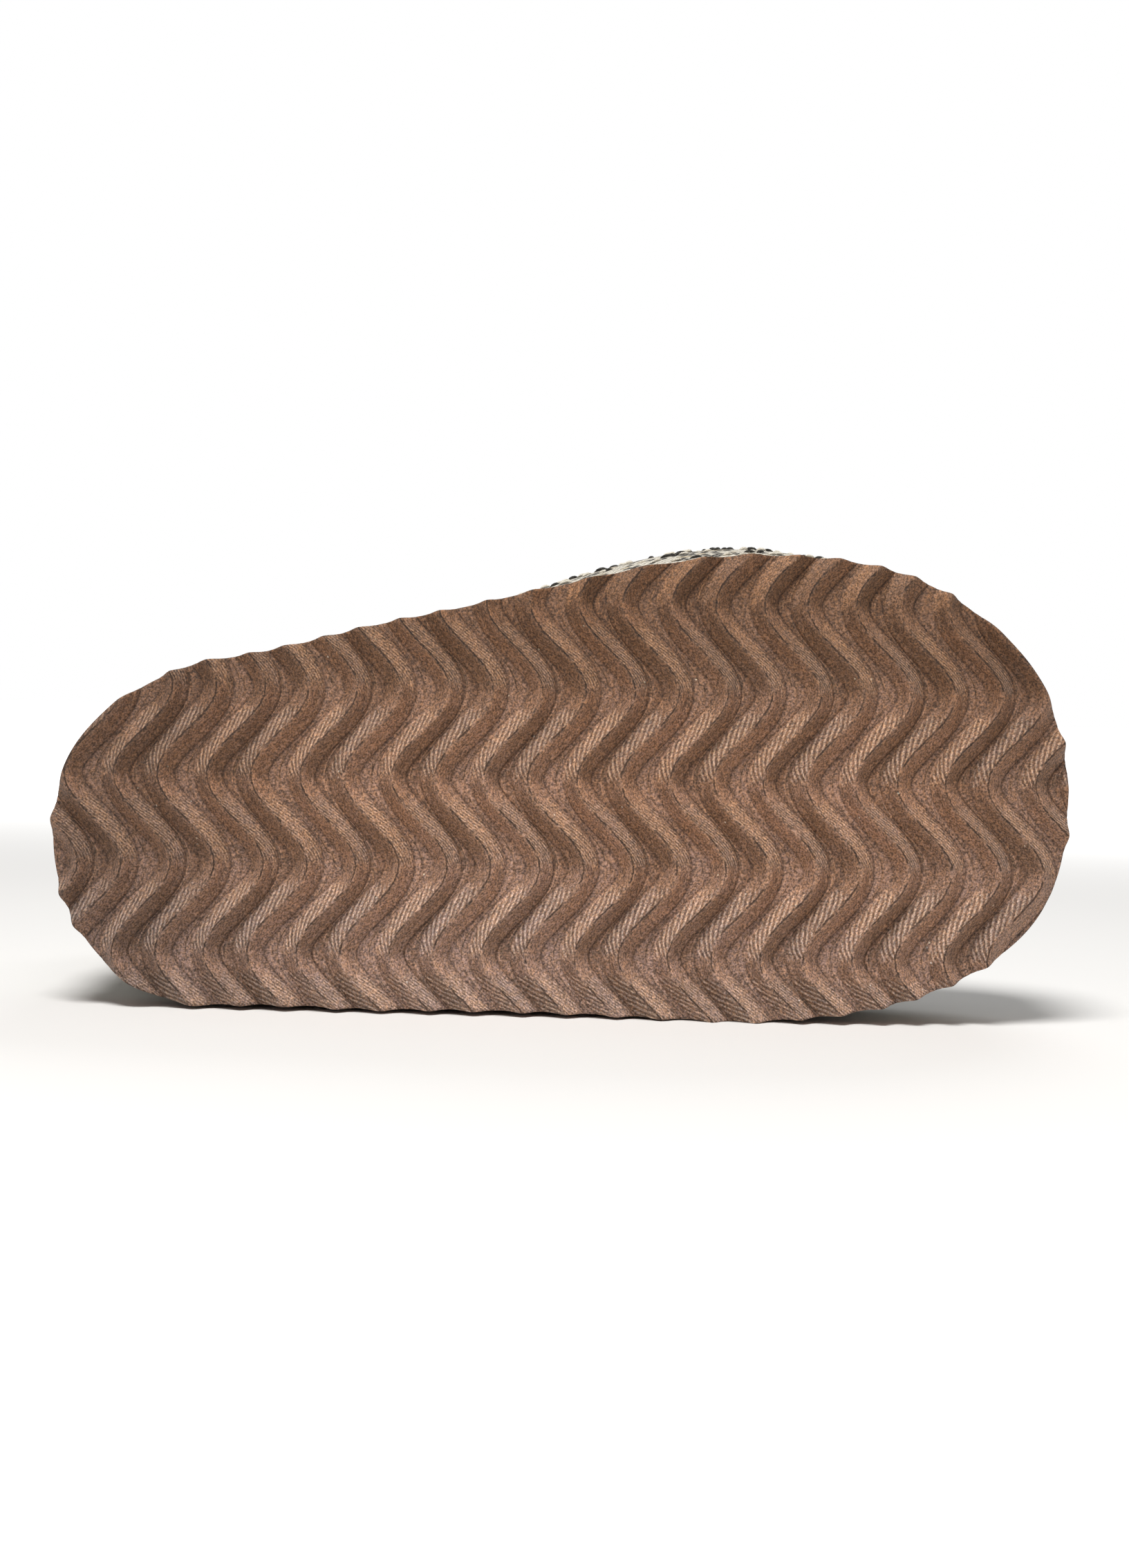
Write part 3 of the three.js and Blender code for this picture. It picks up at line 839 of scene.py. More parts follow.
def build_stitches():
    """One row of stitches around the lower edge of the hem."""
    hem_level, _ = hem_shape(0)
    level = hem_level + 0.018
    turn = np.linspace(0, 2 * math.pi, 2001)
    ring = upper_point(np.full_like(turn, level), turn)
    walked = np.concatenate([[0], np.cumsum(np.linalg.norm(np.diff(ring, axis=0), axis=1))])
    count = int(walked[-1] / (STITCH_LENGTH + STITCH_GAP))
    places = np.interp((np.arange(count) + 0.5) / count * walked[-1], walked, turn)
    points, normal, around, _ = cloth_frame(np.full(count, level), places)
    points = points + normal * (0.3 * MM)
    lengths = np.full(count, STITCH_LENGTH)
    widths = np.full(count, 0.8 * MM)
    shades = np.full(count, 0.7)
    piece = short_yarns("hem_stitches", points, around, normal, lengths, widths, shades, 0.02)
    piece.data.materials.append(bpy.data.materials["yarn"])
    return piece


def add_cloth_places(piece, points):
    """Stores where each corner lies on flat cloth, in millimetres: the sides, the ends and the top
    of the foot are each laid out flat, with the yarns level with the sole."""
    mesh = piece.data
    count = len(mesh.loops)
    corners = np.empty(count, np.int32)
    mesh.loops.foreach_get("vertex_index", corners)
    sizes = np.empty(len(mesh.polygons), np.int32)
    mesh.polygons.foreach_get("loop_total", sizes)
    face_of = np.repeat(np.arange(len(sizes)), sizes)
    first = np.concatenate([[0], np.cumsum(sizes)[:-1]])
    spots = points[corners]
    one, two, three = spots[first], spots[first + 1], spots[first + 2]
    normal = np.abs(np.cross(two - one, three - one))
    normal *= np.array([1.0, 1.15, 0.9])
    facing = np.argmax(normal, axis=1)[face_of]
    along, across, up = spots.T / MM
    flat_across = np.where(facing == 0, across + 400.0, along)
    flat_up = np.where(facing == 2, across + 700.0, up)
    layer = mesh.attributes.new("cloth", "FLOAT_VECTOR", "CORNER")
    places = np.column_stack([flat_across, flat_up, np.zeros(count)])
    layer.data.foreach_set("vector", places.astype(np.float32).ravel())


# Insole


def build_insole():
    sole, upper = settings().sole, settings().upper
    inset = sole.top_inset + upper.feather_step + upper.wall + upper.gap
    turn = np.linspace(0, 2 * math.pi, 240, endpoint=False)
    rings = []
    centre_along, centre_across = plan_point(turn, inset)
    middle_part = np.clip(centre_along / sole.sole_length, 0.12, 0.88)
    core = np.column_stack([middle_part * sole.sole_length, plan_centre(middle_part)])
    edge = np.column_stack([centre_along, centre_across])

    def ring(inward, lift):
        spots = edge + (core - edge) * inward
        ground = sole_top(np.clip(spots[:, 0], 0, sole.sole_length)) + upper.gap
        return np.column_stack([spots, ground + lift])

    thick = upper.insole
    rings = [ring(1, 0), ring(0.5, 0), ring(0.03, 0), ring(0.0, 0.3 * thick)]
    rings += [ring(0.004, 0.7 * thick), ring(0.02, 0.92 * thick)]
    for inward in np.linspace(0.05, 1, 40):
        pile = 0.12 * MM * soft_noise(turn * 14, inward * 30, 11)
        rings.append(ring(inward, thick - 0.15 * MM + pile * (inward < 0.97)))
    count = len(turn)
    faces = []
    for k in range(len(rings) - 1):
        faces += strip_faces(k * count + np.arange(count), (k + 1) * count + np.arange(count))
    points = np.concatenate(rings)
    piece = mesh_piece("fleece_insole", laid(points), faces, ("insole",))
    close_middle(piece)
    piece.data.materials.append(fleece_material())
    return piece


def close_middle(piece):
    """Joins the rings that meet on the middle line."""
    import bmesh

    mesh = bmesh.new()
    mesh.from_mesh(piece.data)
    bmesh.ops.remove_doubles(mesh, verts=mesh.verts, dist=1e-6)
    bmesh.ops.holes_fill(mesh, edges=[edge for edge in mesh.edges if edge.is_boundary], sides=0)
    bmesh.ops.recalc_face_normals(mesh, faces=mesh.faces)
    mesh.to_mesh(piece.data)
    mesh.free()
    piece.data.shade_smooth()


# Materials


class Nodes:
    """Short ways to add shader nodes to a material."""

    def __init__(self, name):
        self.material = bpy.data.materials.new(name)
        self.material.use_nodes = True
        self.tree = self.material.node_tree
        self.tree.nodes.clear()
        self.output = self.tree.nodes.new("ShaderNodeOutputMaterial")
        self.shader = self.tree.nodes.new("ShaderNodeBsdfPrincipled")
        self.tree.links.new(self.shader.outputs["BSDF"], self.output.inputs["Surface"])

    def put(self, socket, value):
        if isinstance(value, bpy.types.NodeSocket):
            self.tree.links.new(value, socket)
        elif isinstance(value, (tuple, list)) and len(value) == 3 and socket.type == "RGBA":
            socket.default_value = (*value, 1)
        else:
            socket.default_value = value

    def math(self, operation, a, b=0.0, c=0.0, clamp=False):
        node = self.tree.nodes.new("ShaderNodeMath")
        node.operation = operation
        node.use_clamp = clamp
        for socket, value in zip(node.inputs, (a, b, c)):
            self.put(socket, value)
        return node.outputs[0]

    def value(self, name):
        node = self.tree.nodes.new("ShaderNodeAttribute")
        node.attribute_name = name
        return node.outputs["Fac"]

    def triple_value(self, name):
        """The three numbers that a piece stores under a name."""
        node = self.tree.nodes.new("ShaderNodeAttribute")
        node.attribute_name = name
        split = self.tree.nodes.new("ShaderNodeSeparateXYZ")
        self.tree.links.new(node.outputs["Vector"], split.inputs[0])
        return split.outputs

    def vector(self, x, y, z=0.0):
        node = self.tree.nodes.new("ShaderNodeCombineXYZ")
        for socket, value in zip(node.inputs, (x, y, z)):
            self.put(socket, value)
        return node.outputs[0]

    def position(self):
        node = self.tree.nodes.new("ShaderNodeTexCoord")
        return node.outputs["Object"]

    def noise(self, where, scale, detail=2.0, roughness=0.5):
        node = self.tree.nodes.new("ShaderNodeTexNoise")
        self.put(node.inputs["Vector"], where)
        node.inputs["Scale"].default_value = scale
        node.inputs["Detail"].default_value = detail
        node.inputs["Roughness"].default_value = roughness
        return node.outputs[0]

    def spots(self, where, scale, feature="F1", randomness=1.0):
        node = self.tree.nodes.new("ShaderNodeTexVoronoi")
        node.feature = feature
        self.put(node.inputs["Vector"], where)
        node.inputs["Scale"].default_value = scale
        node.inputs["Randomness"].default_value = randomness
        return node

    def ramp(self, value, low, high, out_low=0.0, out_high=1.0):
        node = self.tree.nodes.new("ShaderNodeMapRange")
        node.interpolation_type = "SMOOTHSTEP"
        for socket, entry in zip(node.inputs, (value, low, high, out_low, out_high)):
            self.put(socket, entry)
        return node.outputs[0]

    def mix(self, share_of, first, second, blend="MIX"):
        node = self.tree.nodes.new("ShaderNodeMix")
        node.data_type = "RGBA"
        node.blend_type = blend
        self.put(node.inputs["Factor"], share_of)
        self.put(node.inputs[6], first)
        self.put(node.inputs[7], second)
        return node.outputs[2]

    def bump(self, height, strength, distance, normal=None):
        node = self.tree.nodes.new("ShaderNodeBump")
        node.inputs["Strength"].default_value = strength
        node.inputs["Distance"].default_value = distance
        self.put(node.inputs["Height"], height)
        if normal is not None:
            self.put(node.inputs["Normal"], normal)
        return node.outputs[0]

    def finish(self, base, roughness, normal):
        self.put(self.shader.inputs["Base Color"], base)
        self.put(self.shader.inputs["Roughness"], roughness)
        self.put(self.shader.inputs["Normal"], normal)
        return self.material


YARN_PACE = 1.3  # millimetres from one yarn's crossing to the next
YARN_ROW = 0.66
YARN_LEAN = 0.55
PLEAT_SLANT = 3.6  # how far a pleat runs along the rib while it crosses half of it, millimetres
PLEAT_PACE = 1.15  # from one pleat to the next, along the tread's waves
PLEAT_DRIFT = 0.8
STREAK_SLANT = 9.0
STREAK_PACE = 1.5

# Tints that the foam's colour is multiplied by, or mixed with.
# Painted highlights on the flanks that face the outer side, then the far flanks' painted light (wide) and
# painted shade (narrow).
HIGHLIGHT_WIDE = (1.36, 1.38, 1.36)
HIGHLIGHT_NARROW = (1.14, 1.20, 1.28)
FAR_FLANK_LIGHT_WIDE = (1.10, 1.08, 1.05)
FAR_FLANK_SHADE_NARROW = (0.87, 0.85, 0.80)
PLEAT_PALE = (0.62, 0.50, 0.40)
# Painted highlight on the crest and painted shade on the heel's-side flank in the turns of the wave.
TURN_CREST_HIGHLIGHT = (1.22, 1.19, 1.16)
TURN_BACK_SHADE = (0.86, 0.85, 0.83)
# Painted shade towards the outer side and painted light towards the middle and the inner side, each with
# a shift in hue.
OUTER_HUE_AND_SHADE = (0.75, 0.66, 0.52)
MIDDLE_HUE_AND_LIGHT = (1.22, 1.16, 1.06)
INNER_HUE_AND_LIGHT = (1.36, 1.42, 1.48)
GRAIN_OCHRE = (1.04, 1.0, 0.91)
GRAIN_MAUVE = (0.96, 1.0, 1.09)


def triple(prop):
    return tuple(prop[:3])


def foam_material():
    """Moulded foam with a fine grain, folds along the crests, paler flanks from painted highlights, and
    painted shade on the far flanks, in the narrow valleys and along the foot of each rib.
    """
    nodes = Nodes("sole_foam")
    where = nodes.position()
    rib = rib_values(nodes)
    base = foam_ground(nodes, where, rib)
    base = foam_painted_flank_light(nodes, rib, base)
    base, pleat = foam_pleats(nodes, rib, base)
    base, crest = foam_lines(nodes, rib, base)
    base = foam_dust(nodes, where, base)
    base = foam_hue_and_side_light(nodes, rib, base)

    grain = nodes.noise(where, 3100.0, 2.0, 0.6)
    fine = nodes.noise(where, 1500.0, 3.0, 0.6)
    grain_shade = nodes.ramp(grain, 0.3, 0.7, 0.38, 1.62)
    fine_shade = nodes.ramp(fine, 0.3, 0.7, 0.78, 1.22)
    shade = nodes.math("MULTIPLY", grain_shade, fine_shade)
    base = nodes.mix(1.0, base, nodes.vector(shade, shade, shade), "MULTIPLY")
    hue = nodes.ramp(nodes.noise(where, 2100.0, 2.0), 0.38, 0.62)
    base = nodes.mix(1.0, base, nodes.mix(hue, GRAIN_OCHRE, GRAIN_MAUVE), "MULTIPLY")

    height = nodes.math("MULTIPLY", grain, 0.6)
    height = nodes.math("ADD", height, nodes.math("MULTIPLY", fine, 0.4))
    height = nodes.math("ADD", height, nodes.math("MULTIPLY", pleat, 0.45))
    height = nodes.math("SUBTRACT", height, nodes.math("MULTIPLY", crest, 0.9))
    normal = nodes.bump(height, 0.75, 0.00028)
    roughness = nodes.ramp(fine, 0.2, 0.8, 0.56, 0.76)
    nodes.shader.inputs["Specular IOR Level"].default_value = 0.4
    nodes.shader.inputs["Sheen Weight"].default_value = 0.06
    nodes.shader.inputs["Sheen Roughness"].default_value = 0.5
    return nodes.finish(base, roughness, normal)


def rib_values(nodes):
    """What the outsole stores about its ribs, and what follows from it."""
    rib = {}
    for name in ("part", "place", "kind", "number", "slant", "turn"):
        rib[name] = nodes.value("rib_" + name)
    rib["share"] = nodes.value("sole_share")
    rib["side"] = nodes.value("sole_side")
    rib["distance"] = nodes.math("ABSOLUTE", rib["part"])
    rib["toe_side"] = nodes.math("GREATER_THAN", rib["part"], 0.0)
    rib["heel_side"] = nodes.math("SUBTRACT", 1.0, rib["toe_side"])
    rib["to_narrow"] = nodes.math("COMPARE", rib["toe_side"], rib["kind"], 0.1)
    leaning = nodes.math("MULTIPLY_ADD", rib["turn"], 0.35, rib["slant"])
    rib["uphill"] = nodes.ramp(leaning, 0.05, 0.7)
    rib["downhill"] = nodes.ramp(leaning, -0.1, -0.7)
    rib["off_valley"] = nodes.ramp(rib["distance"], 1.1, 0.85)
    return rib


def foam_painted_flank_light(nodes, rib, base):
    """Painted highlights on the flanks where the ribs face the outer side, and painted shade on their far
    side, with a little painted light there where the far flank faces a wide valley. Flanks that face a
    wide valley get the painted highlight almost up to the crest. A painted highlight thins out towards
    the turns of the wave."""
    start = nodes.math("MULTIPLY", rib["to_narrow"], 0.17)
    up = highlight_part(nodes, rib, rib["uphill"], rib["heel_side"], start, (1.28, 1.02))
    down = highlight_part(nodes, rib, rib["downhill"], rib["toe_side"], start, (0.95, 0.6))
    flank_highlight = nodes.math("ADD", up, down)
    far_flank = nodes.math(
        "ADD",
        nodes.math("MULTIPLY", rib["toe_side"], rib["uphill"]),
        nodes.math("MULTIPLY", rib["heel_side"], rib["downhill"]),
    )
    far_flank = nodes.math("MULTIPLY", far_flank, nodes.ramp(rib["distance"], 0.0, 0.14))
    far_flank = nodes.math("MULTIPLY", far_flank, rib["off_valley"])
    highlight_tint = nodes.mix(rib["to_narrow"], HIGHLIGHT_WIDE, HIGHLIGHT_NARROW)
    far_flank_tint = nodes.mix(rib["to_narrow"], FAR_FLANK_LIGHT_WIDE, FAR_FLANK_SHADE_NARROW)
    base = nodes.mix(flank_highlight, base, nodes.mix(1.0, base, highlight_tint, "MULTIPLY"))
    base = nodes.mix(far_flank, base, nodes.mix(1.0, base, far_flank_tint, "MULTIPLY"))

    # In the turns the crest gets a painted highlight and the flank on the heel's side painted shade.
    turning = nodes.math("ADD", rib["uphill"], rib["downhill"])
    turning = nodes.math("SUBTRACT", 1.0, turning, clamp=True)
    crest = nodes.math(
        "MULTIPLY", nodes.ramp(rib["part"], -0.12, 0.04), nodes.ramp(rib["part"], 0.6, 0.35)
    )
    crest = nodes.math("MULTIPLY", crest, turning)
    base = nodes.mix(crest, base, nodes.mix(1.0, base, TURN_CREST_HIGHLIGHT, "MULTIPLY"))
    back = nodes.math(
        "MULTIPLY", nodes.ramp(rib["part"], -0.2, -0.5), nodes.ramp(rib["part"], -1.2, -1.0)
    )
    back = nodes.math("MULTIPLY", back, turning)
    return nodes.mix(back, base, nodes.mix(1.0, base, TURN_BACK_SHADE, "MULTIPLY"))


def highlight_part(nodes, rib, amount, side, start, fade):
    """Where one side of the ribs gets the painted highlight: from near the crest down to the fade near
    its foot.
    """
    thinned = nodes.math("MULTIPLY", nodes.math("SUBTRACT", 1.0, amount), 0.75)
    low = nodes.math("ADD", start, thinned)
    high = nodes.math("ADD", low, 0.24)
    flank = nodes.math("MULTIPLY", nodes.ramp(rib["distance"], low, high), side)
    flank = nodes.math("MULTIPLY", flank, nodes.ramp(rib["distance"], *fade))
    return nodes.math("MULTIPLY", flank, nodes.ramp(amount, 0.0, 0.5))


def foam_pleats(nodes, rib, base):
    """Fine slanted pleats: on the flanks with a painted highlight on one slant of the wave, on the far
    flanks with painted shade on the other slant near the inner side, and faint long streaks on the other
    flanks with a painted highlight."""
    line = triple(settings().colours.foam_fold_and_shade)
    patches = nodes.noise(nodes.vector(rib["place"], rib["number"], rib["kind"]), 0.12, 2.0)
    worn = nodes.ramp(patches, 0.26, 0.44)
    drift = nodes.noise(nodes.vector(rib["place"], rib["part"], rib["number"]), 0.8, 2.0)
    drift = nodes.math("MULTIPLY", drift, PLEAT_DRIFT)
    strength = nodes.noise(nodes.vector(rib["place"], rib["part"], rib["number"]), 1.3, 2.0)
    strength = nodes.ramp(strength, 0.3, 0.55, 0.5, 1.0)

    inner_side = nodes.ramp(rib["side"], 0.10, 0.26)
    slanted = nodes.math("MULTIPLY", rib["part"], PLEAT_SLANT)
    slanted = nodes.math("ADD", nodes.math("SUBTRACT", rib["place"], slanted), drift)
    slanted = nodes.math("SINE", nodes.math("MULTIPLY", slanted, 2 * math.pi / PLEAT_PACE))
    where_far_flank = nodes.math("MULTIPLY", rib["downhill"], inner_side)
    off_outer = nodes.math("MULTIPLY", rib["uphill"], nodes.ramp(rib["side"], -0.42, -0.28))
    pleated = nodes.math("MAXIMUM", off_outer, where_far_flank)
    pleated = nodes.math("MULTIPLY", pleated, rib["heel_side"])
    pleated = nodes.math("MULTIPLY", pleated, nodes.ramp(rib["distance"], 0.0, 0.15))
    slanted = nodes.math("MULTIPLY", slanted, pleated)

    long_way = nodes.math("MULTIPLY", rib["part"], -STREAK_SLANT)
    long_way = nodes.math("ADD", nodes.math("ADD", rib["place"], long_way), drift)
    streak = nodes.math("SINE", nodes.math("MULTIPLY", long_way, 2 * math.pi / STREAK_PACE))
    streaked = nodes.math("MULTIPLY", rib["downhill"], rib["toe_side"])
    streak = nodes.math("MULTIPLY", streak, nodes.math("MULTIPLY", streaked, 0.6))

    pleat = nodes.math("ADD", slanted, streak)
    pleat = nodes.math("MULTIPLY", pleat, nodes.math("MULTIPLY", worn, rib["off_valley"]))
    pleat = nodes.math("MULTIPLY", pleat, strength)
    dark = nodes.ramp(pleat, -0.1, -0.6)
    pale = nodes.ramp(pleat, 0.1, 0.7)
    base = nodes.mix(nodes.math("MULTIPLY", dark, 0.5), base, line)
    return nodes.mix(nodes.math("MULTIPLY", pale, 0.28), base, PLEAT_PALE), pleat


def foam_lines(nodes, rib, base):
    """A broken fold along each crest, hairlines beside it, and a dark line of painted shade along the
    foot of each rib.
    """
    line = triple(settings().colours.foam_fold_and_shade)
    wander = nodes.noise(nodes.vector(rib["place"], rib["number"], rib["kind"]), 0.9, 5.0, 0.65)
    wander = nodes.math("MULTIPLY", nodes.math("SUBTRACT", wander, 0.5), 0.24)
    crest = nodes.math("ABSOLUTE", nodes.math("SUBTRACT", rib["part"], wander))
    crest = nodes.ramp(crest, 0.075, 0.03)
    broken = nodes.noise(nodes.vector(rib["place"], rib["number"], 7.0), 0.3, 3.0)
    crest = nodes.math("MULTIPLY", crest, nodes.ramp(broken, 0.42, 0.52))
    base = nodes.mix(nodes.math("MULTIPLY", crest, 0.85), base, line)

    stretched = nodes.vector(
        nodes.math("MULTIPLY", rib["place"], 0.35),
        nodes.math("MULTIPLY", rib["part"], 5.0),
        rib["number"],
    )
    hair = nodes.math("SUBTRACT", nodes.noise(stretched, 2.2, 3.0, 0.6), 0.5)
    hair = nodes.ramp(nodes.math("ABSOLUTE", hair), 0.03, 0.0)
    hair = nodes.math("MULTIPLY", hair, rib["off_valley"])
    base = nodes.mix(nodes.math("MULTIPLY", hair, 0.22), base, line)

    # The lines along the foot of each rib are painted shade, full on the toe's side and weaker on the
    # heel's side, most on the uphill slants.
    toe_foot = nodes.math("ABSOLUTE", nodes.math("SUBTRACT", rib["part"], 1.03))
    heel_at = nodes.math("MULTIPLY_ADD", rib["uphill"], 0.14, 1.03)
    heel_foot = nodes.math("ABSOLUTE", nodes.math("ADD", rib["part"], heel_at))
    heel_foot_shade = nodes.math("MULTIPLY_ADD", rib["uphill"], 0.35, 0.55)
    thin = nodes.math(
        "MAXIMUM",
        nodes.ramp(toe_foot, 0.07, 0.0),
        nodes.math("MULTIPLY", nodes.ramp(heel_foot, 0.07, 0.0), heel_foot_shade),
    )
    soft = nodes.math(
        "MAXIMUM",
        nodes.ramp(toe_foot, 0.24, 0.0),
        nodes.math("MULTIPLY", nodes.ramp(heel_foot, 0.24, 0.0), heel_foot_shade),
    )
    foot_shade = nodes.math("MULTIPLY_ADD", soft, 0.26, nodes.math("MULTIPLY", thin, 0.36))
    return nodes.mix(foot_shade, base, line), crest


def foam_hue_and_side_light(nodes, rib, base):
    """Painted shade and light, with a shift in the foam's own hue: browner and darker towards the outer
    side, pinker and lighter towards the inner side, and painted shade at the heel and the toe."""
    across = nodes.mix(nodes.ramp(rib["side"], -0.58, -0.12), OUTER_HUE_AND_SHADE, MIDDLE_HUE_AND_LIGHT)
    across = nodes.mix(nodes.ramp(rib["side"], -0.12, 0.34), across, INNER_HUE_AND_LIGHT)
    heel = nodes.ramp(rib["share"], 0.0, 0.34, 0.62, 1.0)
    toe = nodes.ramp(rib["share"], 1.0, 0.8, 0.84, 1.0)
    along = nodes.math("MULTIPLY", heel, toe)
    along = nodes.vector(along, along, along)
    base = nodes.mix(1.0, base, across, "MULTIPLY")
    return nodes.mix(1.0, base, along, "MULTIPLY")


def foam_dust(nodes, where, base):
    """A few white specks."""
    spots = nodes.spots(where, 520.0)
    speck = nodes.ramp(spots.outputs["Distance"], 0.12, 0.05)
    rare = nodes.math("GREATER_THAN", nodes.noise(where, 230.0, 1.0), 0.64)
    speck = nodes.math("MULTIPLY", speck, rare)
    return nodes.mix(nodes.math("MULTIPLY", speck, 0.7), base, triple(settings().colours.foam_speck))


def foam_ground(nodes, where, rib):
    """The foam's colour before the flank light and the marks: browner and pinker clouds, painted shade in
    the narrow valleys and a mauve tint in the wide ones.
    """
    colours = settings().colours
    broad = nodes.noise(where, 26.0, 3.0)
    cloud = nodes.noise(where, 140.0, 3.0)
    base = nodes.mix(nodes.ramp(broad, 0.35, 0.7), triple(colours.foam), triple(colours.foam_brown))
    pink = nodes.ramp(cloud, 0.4, 0.75, 0.0, 0.3)
    base = nodes.mix(pink, base, triple(colours.foam_mauve))
    valley = nodes.ramp(rib["distance"], 0.9, 1.05)
    narrow = nodes.math("MULTIPLY", valley, rib["to_narrow"])
    wide = nodes.math("SUBTRACT", valley, narrow, clamp=True)
    # Painted shade in the narrow valleys; the wide valleys get a mauve tint of the foam's own.
    base = nodes.mix(nodes.math("MULTIPLY", narrow, 0.7), base, triple(colours.foam_valley_shade))
    return nodes.mix(nodes.math("MULTIPLY", wide, 0.25), base, triple(colours.foam_mauve))


def tweed_material():
    """Tweed of cream and black yarns with a few ochre flecks, painted shade between the yarns, a painted
    shadow line along the hem's lower edge, and fleece on the inside.
    """
    colours = settings().colours
    nodes = Nodes("upper_weave")
    where = nodes.position()
    cloth_along, cloth_up, _ = nodes.triple_value("cloth")
    lining = nodes.value("lining")

    sway = nodes.math("SUBTRACT", nodes.noise(where, 330.0, 2.0), 0.5)
    lift = nodes.math("SUBTRACT", nodes.noise(where, 410.0, 2.0), 0.5)
    u = nodes.math("ADD", nodes.math("DIVIDE", cloth_along, YARN_PACE), nodes.math("MULTIPLY", sway, 1.3))
    v = nodes.math("ADD", nodes.math("DIVIDE", cloth_up, YARN_ROW), nodes.math("MULTIPLY", lift, 1.3))
    row = nodes.math("FLOOR", v)
    shifted = nodes.math("ADD", u, nodes.math("MULTIPLY", row, 0.37))
    column = nodes.math("FLOOR", shifted)
    in_u = nodes.math("SUBTRACT", nodes.math("FRACT", shifted), 0.5)
    in_v = nodes.math("SUBTRACT", nodes.math("FRACT", v), 0.5)
    lean = nodes.math("SUBTRACT", in_v, nodes.math("MULTIPLY", in_u, YARN_LEAN))
    thin = nodes.math("POWER", nodes.math("ABSOLUTE", nodes.math("MULTIPLY", lean, 2.0)), 2.0)
    long = nodes.math("POWER", nodes.math("ABSOLUTE", nodes.math("MULTIPLY", in_u, 1.9)), 3.0)
    bead = nodes.math("SUBTRACT", 1.0, nodes.math("ADD", thin, long), clamp=True)

    draw = nodes.tree.nodes.new("ShaderNodeTexWhiteNoise")
    draw.noise_dimensions = "2D"
    nodes.put(draw.inputs["Vector"], nodes.vector(column, row))
    chance = draw.outputs["Value"]
    patch = nodes.noise(where, 70.0, 2.0)
    dark = nodes.math("LESS_THAN", chance, nodes.ramp(patch, 0.3, 0.7, 0.30, 0.48))
    dark = nodes.math("MULTIPLY", dark, nodes.ramp(bead, 0.1, 0.35))
    warm = nodes.math("MULTIPLY", nodes.math("GREATER_THAN", chance, 0.94), 0.7)
    fibre = nodes.noise(where, 2600.0, 3.0, 0.7)
    light = nodes.mix(nodes.ramp(fibre, 0.3, 0.7), triple(colours.yarn_light), (0.66, 0.61, 0.50))
    black = nodes.mix(nodes.ramp(fibre, 0.4, 0.8), triple(colours.yarn_dark), (0.085, 0.075, 0.055))
    weave = nodes.mix(warm, light, triple(colours.yarn_warm))
    # Painted shade in the gaps between the yarns.
    gap = nodes.ramp(bead, 0.22, 0.0)
    weave = nodes.mix(nodes.math("MULTIPLY", gap, 0.55), weave, (0.17, 0.15, 0.115))
    weave = nodes.mix(dark, weave, black)
    # A painted shadow line along the lower edge of the hem.
    hem_level, _ = hem_shape(0)
    from_hem = nodes.math("ABSOLUTE", nodes.math("SUBTRACT", nodes.value("rise"), hem_level))
    hem_shadow_line = nodes.math("MULTIPLY", nodes.ramp(from_hem, 0.006, 0.001), 0.7)
    weave = nodes.mix(hem_shadow_line, weave, triple(colours.yarn_dark))
    curl = nodes.noise(where, 900.0, 4.0, 0.65)
    fleece = nodes.mix(nodes.ramp(curl, 0.35, 0.7), triple(colours.fleece), (0.50, 0.43, 0.32))
    base = nodes.mix(lining, weave, fleece)

    height = nodes.math("ADD", nodes.math("POWER", bead, 0.5), nodes.math("MULTIPLY", fibre, 0.3))
    mixer = nodes.tree.nodes.new("ShaderNodeMix")
    nodes.put(mixer.inputs[0], lining)
    nodes.put(mixer.inputs[2], height)
    nodes.put(mixer.inputs[3], curl)
    normal = nodes.bump(mixer.outputs[0], 0.9, 0.0005)
    nodes.shader.inputs["Sheen Weight"].default_value = 0.2
    nodes.shader.inputs["Sheen Roughness"].default_value = 0.6
    nodes.shader.inputs["Specular IOR Level"].default_value = 0.25
    return nodes.finish(base, 0.9, normal)


def yarn_material():
    """Single yarns: their shade is stored on the piece, from cream (0) to black (1)."""
    colours = settings().colours
    nodes = Nodes("yarn")
    where = nodes.position()
    fibre = nodes.noise(where, 3000.0, 3.0, 0.7)
    shade = nodes.value("shade")
    light = nodes.mix(nodes.ramp(fibre, 0.3, 0.7), triple(colours.yarn_light), (0.70, 0.65, 0.54))
    black = nodes.mix(nodes.ramp(fibre, 0.4, 0.8), triple(colours.yarn_dark), (0.085, 0.075, 0.055))
    base = nodes.mix(shade, light, black)
    normal = nodes.bump(fibre, 0.9, 0.0003)
    nodes.shader.inputs["Sheen Weight"].default_value = 0.2
    nodes.shader.inputs["Sheen Roughness"].default_value = 0.6
    nodes.shader.inputs["Specular IOR Level"].default_value = 0.25
    return nodes.finish(base, 0.9, normal)


def fleece_material():
    colours = settings().colours
    nodes = Nodes("insole_fleece")
    where = nodes.position()
    curl = nodes.noise(where, 850.0, 4.0, 0.65)
    tuft = nodes.spots(where, 520.0)
    base = nodes.mix(nodes.ramp(curl, 0.3, 0.7), triple(colours.fleece), (0.52, 0.45, 0.34))
    height = nodes.math("SUBTRACT", curl, nodes.math("MULTIPLY", tuft.outputs["Distance"], 0.6))
    normal = nodes.bump(height, 0.9, 0.0007)
    nodes.shader.inputs["Sheen Weight"].default_value = 0.35
    nodes.shader.inputs["Sheen Roughness"].default_value = 0.55
    nodes.shader.inputs["Specular IOR Level"].default_value = 0.2
    return nodes.finish(base, 0.95, normal)


# Stage

